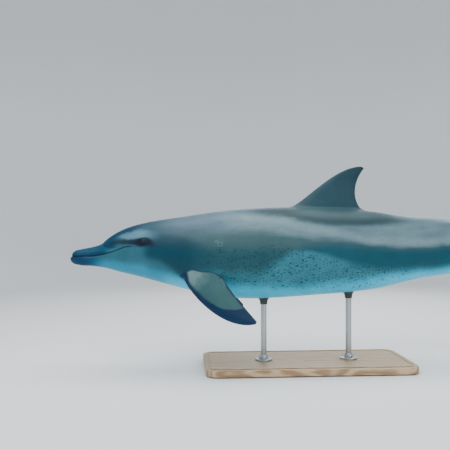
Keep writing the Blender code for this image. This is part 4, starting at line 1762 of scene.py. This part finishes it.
def turned(profile: Sequence[Pair], centre: Vector, steps: int) -> BMesh:
    """A turned part: a profile of (radius, height) pairs spun round an upright axis.

    Args:
        profile: the profile; it is closed where it does not start on the axis.
        centre: the axis's foot.
        steps: steps of the spin.

    Returns:
        The mesh, closed where the profile is or ends on the axis.
    """
    mesh = bmesh.new()
    verts = [mesh.verts.new((radius, 0.0, height)) for radius, height in profile]
    edges = [mesh.edges.new(pair) for pair in zip(verts, verts[1:])]
    if profile[0][0] > 0:
        edges.append(mesh.edges.new((verts[-1], verts[0])))
    bmesh.ops.spin(
        mesh, geom=verts + edges, cent=(0, 0, 0), axis=(0, 0, 1), angle=math.tau, steps=steps, use_merge=True
    )
    bmesh.ops.remove_doubles(mesh, verts=mesh.verts, dist=1e-6)
    bmesh.ops.recalc_face_normals(mesh, faces=mesh.faces)
    bmesh.ops.translate(mesh, verts=mesh.verts, vec=centre)
    return mesh


def join(mesh: BMesh, part: BMesh) -> None:
    """Adds a part to a mesh and frees the part.

    Args:
        mesh: the mesh.
        part: the part.
    """
    data = bpy.data.meshes.new("part")
    part.to_mesh(data)
    part.free()
    mesh.from_mesh(data)
    bpy.data.meshes.remove(data)


@dataclass(frozen=True)
class Fold:
    """A fold drawn on the left side of the skin, and on the right side by mirror.

    points are (along, height) pairs; depth is pressed in, and a negative one swells; fade is
    the share of its length over which each end runs out.
    """

    points: Pairs
    depth: float
    width: float
    fade: float = 0.25


@dataclass(frozen=True)
class BellyMark:
    """A slit or dimple on the belly: its middle, its half length and width, and its depth."""

    along: float
    side: float
    half_length: float
    width: float
    depth: float


@dataclass
class Skin:
    """The finished skin of the animal."""

    form: BodyForm
    fins: FinSet
    divisions: int = 2
    folds: tuple[Fold, ...] = (
        Fold(
            ((0.152, 0.050), (0.158, 0.036), (0.176, 0.026), (0.206, 0.026), (0.238, 0.036)),
            0.0032, 0.0060, 0.30,
        ),
        Fold(((0.168, 0.062), (0.176, 0.046), (0.200, 0.042)), -0.0022, 0.0110, 0.40),
        Fold(((0.318, 0.031), (0.330, 0.024), (0.338, 0.012)), 0.0012, 0.0040, 0.45),
        Fold(
            ((0.326, 0.060), (0.336, 0.070), (0.352, 0.076), (0.372, 0.073), (0.386, 0.062)),
            0.0011, 0.0028, 0.40,
        ),
        Fold(((0.328, 0.044), (0.344, 0.036), (0.362, 0.034), (0.380, 0.040)), 0.0010, 0.0030, 0.40),
        Fold(((0.384, 0.056), (0.398, 0.055), (0.412, 0.050)), 0.0009, 0.0026, 0.45),
        Fold(((0.530, -0.086), (0.536, -0.108), (0.548, -0.132), (0.566, -0.150)), 0.0022, 0.0080, 0.40),
        Fold(((0.418, 0.030), (0.420, 0.029)), 0.0020, 0.0022, 0.0),
    )
    marks: tuple[BellyMark, ...] = (
        BellyMark(1.020, 0.000, 0.008, 0.0040, 0.0030),
        BellyMark(1.590, 0.000, 0.046, 0.0026, 0.0050),
        BellyMark(1.668, 0.000, 0.012, 0.0030, 0.0040),
        BellyMark(1.580, 0.019, 0.012, 0.0022, 0.0026),
        BellyMark(1.580, -0.019, 0.012, 0.0022, 0.0026),
    )

    def build(self, finish: Material) -> None:
        """Builds the cage, subdivides it, presses the folds in and puts it on the model.

        Args:
            finish: the skin's material.
        """
        cage = piece_from(SkinCage(self.form, self.fins).built(), "skin", finish)
        skin = subdivided(cage, self.divisions)
        self.press(skin.data)
        settled(
            skin, "skin_grey", "upper_beak", "lower_jaw", "head", "blowhole_plug", "trunk", "tail_stock",
            "dorsal_fin", "flipper_left", "flipper_right", "fluke_left", "fluke_right",
        )

    def press(self, data: bpy.types.Mesh) -> None:
        """Moves the fine mesh along its normals, for folds and marks.

        Args:
            data: the subdivided skin's mesh.
        """
        points, normals = np.empty((2, len(data.vertices), 3))
        data.vertices.foreach_get("co", points.ravel())
        data.vertices.foreach_get("normal", normals.ravel())
        folded = points.copy()
        folded[:, 1] = -np.abs(points[:, 1])
        inward = sum(self.fold_depth(folded, fold) for fold in self.folds)
        inward += sum(self.mark_depth(points, normals, mark) for mark in self.marks)
        points -= normals * inward[:, None]
        data.vertices.foreach_set("co", points.ravel())
        data.update()

    def fold_depth(self, points: np.ndarray, fold: Fold) -> np.ndarray:
        """How deep a fold presses each point in.

        Args:
            points: the mesh's points, with the right side folded over to the left.
            fold: the fold.

        Returns:
            One depth for each point.
        """
        line = np.array([self.form.on_left(*point) for point in fold.points])
        lengths = np.linalg.norm(np.diff(line, axis=0), axis=1)
        done = 0.0
        nearest = np.full(len(points), np.inf)
        share = np.zeros(len(points))
        for start, end, length in zip(line, line[1:], lengths):
            along = (end - start) / length
            t = np.clip((points - start) @ along, 0, length)
            away = np.linalg.norm(points - start - t[:, None] * along, axis=1)
            better = away < nearest
            nearest[better] = away[better]
            share[better] = (done + t[better]) / lengths.sum()
            done += length
        strength = np.exp(-((nearest / fold.width) ** 2))
        if fold.fade:
            ends = np.clip(np.minimum(share, 1 - share) / fold.fade, 0, 1)
            strength *= ends * ends * (3 - 2 * ends)
        return strength * fold.depth

    def mark_depth(self, points: np.ndarray, normals: np.ndarray, mark: BellyMark) -> np.ndarray:
        """How deep a belly mark presses each point in.

        Args:
            points: the mesh's points.
            normals: their outward directions.
            mark: the mark.

        Returns:
            One depth for each point.
        """
        beyond = np.abs(points[:, 0] - self.form.zero.x - mark.along) - mark.half_length
        away = np.hypot(np.maximum(0, beyond), points[:, 1] - mark.side)
        facing_down = normals[:, 2] < -0.5
        return np.exp(-((away / mark.width) ** 2)) * mark.depth * facing_down


@dataclass
class Eyes:
    """The eyeballs: each a globe with the slight dome of its cornea."""

    form: BodyForm
    effects: Effects
    cornea: float = 0.0009
    cornea_reach: float = 0.0092
    sides: int = 48
    rings: int = 32

    def build(self) -> None:
        """Makes both eyeballs."""
        outward = self.form.normal_at(self.form.eye_along, self.form.eye_height)
        for side in Side:
            name = side.value
            low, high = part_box("eye_" + name)
            centre, radius = (low + high) / 2, (high.x - low.x) / 2
            facing = Vector((outward.x, outward.y * side.mirror, outward.z))
            turn = facing.to_track_quat("Z", "Y").to_matrix()
            mesh = bmesh.new()
            bmesh.ops.create_uvsphere(mesh, u_segments=self.sides, v_segments=self.rings, radius=radius)
            bmesh.ops.rotate(mesh, verts=mesh.verts, cent=(0, 0, 0), matrix=turn)
            for vert in mesh.verts:
                ahead = vert.co.dot(facing)
                share = (vert.co - facing * ahead).length / self.cornea_reach
                if ahead > 0 and share < 1:
                    vert.co += facing * self.cornea * (1 - share**2) ** 2
            bmesh.ops.translate(mesh, verts=mesh.verts, vec=centre)
            finish = EyeFinish(self.effects, "eye_" + name + "_wet", centre, facing).made()
            settled(piece_from(mesh, "eyeball_" + name, finish), "eye", "eye_" + name)


class Rod:
    """Where a rod of the stand is: its foot, its radius and the height of the belly over it."""

    def __init__(self, place: RodPlace, form: BodyForm) -> None:
        """Reads the rod's box from the frame.

        Args:
            place: which rod.
            form: the body over it.
        """
        self.place = place.value
        low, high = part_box("stand_rod_" + self.place)
        self.foot = Vector(((low.x + high.x) / 2, 0, low.z))
        self.radius = (high.x - low.x) / 2
        self.form = form
        self.belly = self.belly_at(self.foot.x)

    def belly_at(self, x: float) -> float:
        """The height of the belly over a place of the board."""
        return self.form.zero.z + self.form.belly(x - self.form.zero.x)


@dataclass
class Stand:
    """The display stand: an oak board on rubber feet and two steel rods on flanges."""

    form: BodyForm
    board: Material
    steel: Material
    rubber: Material
    foot: float = 0.005
    corner: float = 0.060
    edge: float = 0.005
    groove_in: float = 0.024
    groove: float = 0.003
    groove_depth: float = 0.0016
    rod_sides: int = 48
    foot_sides: int = 24
    screws: int = 4
    screw_sides: int = 18
    screw_circle: float = 0.52
    sunk: float = 0.012
    sharp: float = math.radians(30)
    foot_shape: Pairs = ((0.0, 0.0), (0.021, 0.0), (0.023, 0.0015), (0.023, foot), (0.0, foot))
    screw_shape: Pairs = (
        (0.0, 0.0), (0.0044, 0.0), (0.0044, 0.0022), (0.0036, 0.0030), (0.0023, 0.0030),
        (0.0021, 0.0009), (0.0, 0.0007),
    )
    # from the flange's radius, and shares of its thickness
    flange_edge: Pairs = ((0.0, 0.72), (-0.0006, 0.92), (-0.002, 1.0))
    # each from the rod's radius, and from the flange's top or the belly
    collar_shape: Pairs = (
        (0.009, 0.0), (0.0075, 0.0012), (0.0065, 0.016), (0.0055, 0.0178), (0.0003, 0.018),
        (-0.001, 0.018),
    )
    boot_shape: Pairs = (
        (-0.001, -0.030), (0.0028, -0.030), (0.0036, -0.029), (0.0040, -0.020),
        (0.0062, -0.010), (0.0105, -0.0045), (0.0115, -0.0025), (0.0110, 0.004), (-0.001, 0.004),
    )

    def build(self) -> None:
        """Makes the board, its feet and both rods with their flanges and collars."""
        self.build_board()
        self.build_feet()
        for place in RodPlace:
            rod = Rod(place, self.form)
            self.build_rod(rod)
            self.build_flange(rod)
            self.build_boot(rod)

    def finished(
        self, mesh: BMesh, name: str, finish: Material, slot: str, *nodes: str
    ) -> None:
        """Makes a piece of the stand, shaded smooth except across its sharp edges.

        Args:
            mesh: its mesh.
            name: its name.
            finish: its material.
            slot: the record's material slot.
            nodes: the CAD nodes it stands for.
        """
        mesh.normal_update()
        for edge in mesh.edges:
            edge.smooth = len(edge.link_faces) == 2 and edge.calc_face_angle(0.0) < self.sharp
        settled(piece_from(mesh, name, finish), slot, *nodes)

    def build_board(self) -> None:
        """The board: rounded corners, softened edges, a fine groove round the top."""
        low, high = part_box("stand_base")
        low.z += self.foot
        mesh = bmesh.new()
        bmesh.ops.create_cube(mesh, size=1.0)
        bmesh.ops.scale(mesh, verts=mesh.verts, vec=high - low)
        bmesh.ops.translate(mesh, verts=mesh.verts, vec=(low + high) / 2)

        def drop(edge: bmesh.types.BMEdge) -> float:
            """How much higher one end of an edge is than the other."""
            return abs(edge.verts[0].co.z - edge.verts[1].co.z)

        softened(mesh, [edge for edge in mesh.edges if drop(edge) > 0.01], self.corner, 14)
        top = max(mesh.faces, key=lambda face: face.calc_center_median().z)
        half = self.groove / 2
        for wide, deep in ((self.groove_in, 0.0), (half, -self.groove_depth), (half, self.groove_depth)):
            bmesh.ops.inset_region(mesh, faces=[top], thickness=wide, depth=deep, use_even_offset=True)
        rims = [
            edge for edge in mesh.edges
            if len(edge.link_faces) == 2 and edge.calc_face_angle() > 1.2 and drop(edge) < 1e-5
        ]
        softened(mesh, rims, self.edge, 5)
        self.finished(mesh, "stand_board_top", self.board, "stand_board", "stand_base")

    def build_feet(self) -> None:
        """Four round feet under the board."""
        low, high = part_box("stand_base")
        whole = bmesh.new()
        for x in (low.x + self.corner, high.x - self.corner):
            for y in (low.y + self.corner, high.y - self.corner):
                join(whole, turned(self.foot_shape, Vector((x, y, low.z)), self.foot_sides))
        self.finished(whole, "stand_feet", self.rubber, "stand_board")

    def build_rod(self, rod: Rod) -> None:
        """A round rod from the board into the belly.

        Args:
            rod: the rod.
        """
        radius, top = rod.radius, rod.belly + self.sunk - rod.foot.z
        profile = ((0.0, 0.0), (radius, 0.0), (radius, top * 0.5), (radius, top), (0.0, top))
        mesh = turned(profile, rod.foot, self.rod_sides)
        name = "stand_rod_" + rod.place
        self.finished(mesh, name + "_tube", self.steel, "stand_steel", name)

    def build_flange(self, rod: Rod) -> None:
        """A flange with a collar, and its socket screws.

        Args:
            rod: the rod that it belongs to.
        """
        name = "stand_flange_" + rod.place
        low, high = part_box(name)
        radius, thick = (high.x - low.x) / 2, high.z - low.z
        profile = [(rod.radius - 0.001, 0.0), (radius, 0.0)]
        profile += [(radius + wider, thick * share) for wider, share in self.flange_edge]
        profile += [(rod.radius + wider, thick + rise) for wider, rise in self.collar_shape]
        mesh = turned(profile, Vector((rod.foot.x, 0, low.z)), self.rod_sides)
        circle = mixed(rod.radius + self.collar_shape[0][0], radius, self.screw_circle)
        for step in range(self.screws):
            angle = math.tau * (step + 0.5) / self.screws
            seat = Vector((rod.foot.x, 0, high.z - 0.0002))
            seat += Vector((math.cos(angle), math.sin(angle), 0)) * circle
            join(mesh, turned(self.screw_shape, seat, self.screw_sides))
        self.finished(mesh, name + "_cap", self.steel, "stand_steel", name)

    def build_boot(self, rod: Rod) -> None:
        """A soft collar where the rod meets the belly, its top lying on the skin.

        Args:
            rod: the rod that it belongs to.
        """
        profile = [(rod.radius + wider, height) for wider, height in self.boot_shape]
        mesh = turned(profile, Vector((rod.foot.x, 0, 0)), self.rod_sides)
        for vert in mesh.verts:
            share = 1 - smooth_step(0.004, 0.030, -vert.co.z)
            slope = rod.belly_at(vert.co.x) - rod.belly
            rise = 0.5 * vert.co.y**2 / self.form.half_width(vert.co.x - self.form.zero.x)
            vert.co.z += rod.belly + (slope + rise) * share
        self.finished(mesh, "stand_boot_" + rod.place, self.rubber, "stand_steel")


@dataclass(frozen=True)
class Lamp:
    """A soft rectangular light: its place, what it points at, its size, power and tint."""

    name: str
    spot: Triple
    aim: Triple
    size: Pair
    watts: float
    tint: Triple


@dataclass
class Studio:
    """Pale floor with a wall that curves up all round, soft lights and the camera."""

    floor_reach: float = 4.2
    cove: float = 1.8
    cove_steps: int = 14
    room_sides: int = 96
    wall: float = 5.0
    target: Vector = field(default_factory=lambda: Vector((-0.399, 0.0, 0.693)))
    distance: float = 3.0
    azimuth: float = -4.0
    view_angle: float = 40.0
    lamps: tuple[Lamp, ...] = (
        Lamp("key", (-1.2, -2.2, 3.1), (-0.3, 0.0, 0.55), (3.2, 2.0), 95.0, (1.0, 0.985, 0.96)),
        Lamp("top", (0.1, 0.3, 3.6), (0.1, 0.0, 0.55), (4.0, 2.4), 120.0, (0.97, 0.99, 1.0)),
        Lamp("fill", (1.8, -3.4, 1.2), (0.1, 0.0, 0.50), (2.4, 2.4), 26.0, (0.95, 0.98, 1.0)),
        Lamp("rim", (1.0, 3.2, 2.2), (0.0, 0.0, 0.60), (3.0, 1.6), 50.0, (0.96, 0.98, 1.0)),
    )

    def build(self, finish: Material) -> None:
        """Builds the room, the lights, the surrounding light and the camera.

        Args:
            finish: the room's material.
        """
        self.build_room(finish)
        for lamp in self.lamps:
            light = bpy.data.lights.new(lamp.name, "AREA")
            light.shape = "RECTANGLE"
            light.size, light.size_y = lamp.size
            light.energy, light.color = lamp.watts, lamp.tint
            self.aimed(light, Vector(lamp.spot), Vector(lamp.aim) - Vector(lamp.spot))
        world = bpy.data.worlds.new("studio_air")
        world.use_nodes = True
        bench = NodeBench(world.node_tree)
        air = bench.lay("Background", {"Color": (0.86, 0.92, 0.97, 1.0), "Strength": 0.42})
        bench.add("OutputWorld", {"Surface": air})
        bpy.context.scene.world = world
        lens = bpy.data.cameras.new("camera")
        lens.lens = lens.sensor_width / 2 / math.tan(math.radians(self.view_angle / 2))
        turn = math.radians(self.azimuth)
        back = Vector((math.sin(turn), -math.cos(turn), 0.0))
        bpy.context.scene.camera = self.aimed(lens, self.target + back * self.distance, -back)

    def aimed(self, data: bpy.types.ID, spot: Vector, gaze: Vector) -> bpy.types.Object:
        """Places a light or camera.

        Args:
            data: the light or camera.
            spot: where it is.
            gaze: the direction in which it looks.

        Returns:
            Its object.
        """
        made = bpy.data.objects.new(data.name, data)
        made.location = spot
        made.rotation_euler = gaze.to_track_quat("-Z", "Y").to_euler()
        bpy.context.scene.collection.objects.link(made)
        return made

    def build_room(self, finish: Material) -> None:
        """The floor and its wall, spun as one sheet that faces inwards.

        Args:
            finish: its material.
        """
        profile = [(0.0, 0.0), (self.floor_reach, 0.0)]
        for step in range(1, self.cove_steps + 1):
            angle = math.pi / 2 * step / self.cove_steps
            out, up = self.cove * math.sin(angle), self.cove * (1 - math.cos(angle))
            profile.append((self.floor_reach + out, up))
        profile.append((self.floor_reach + self.cove, self.wall))
        mesh = turned(profile, Vector((0, 0, 0)), self.room_sides)
        if min(mesh.faces, key=lambda face: face.calc_center_median().z).normal.z < 0:
            bmesh.ops.reverse_faces(mesh, faces=mesh.faces)
        piece_from(mesh, "studio_floor", finish)


def main() -> None:
    """Builds the model's looks, then its room, light and camera, and notes its size."""
    logging.basicConfig(level=logging.INFO, format="%(message)s")
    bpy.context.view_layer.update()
    form, fins, effects = BodyForm(), FinSet(), Effects()
    rubber = PlainFinish(
        effects, "dark_rubber", low=(44, 46, 48), high=(66, 67, 68), clouds=(0.012, 0.4),
        spread=(0.35, 0.7), rough=(0.2, 0.6), depth=0.0002,
    )
    paint = PlainFinish(
        effects, "studio_paint", low=(232, 235, 238), high=(240, 242, 244), clouds=(0.8, 0.2),
        spread=None, rough=(0.1, 0.72), depth=0.0,
    )
    Skin(form, fins).build(SkinFinish(effects, form, fins).made())
    Eyes(form, effects).build()
    Stand(form, BoardFinish(effects).made(), SteelFinish(effects).made(), rubber.made()).build()
    Studio().build(paint.made())


if __name__ == "__main__":
    main()
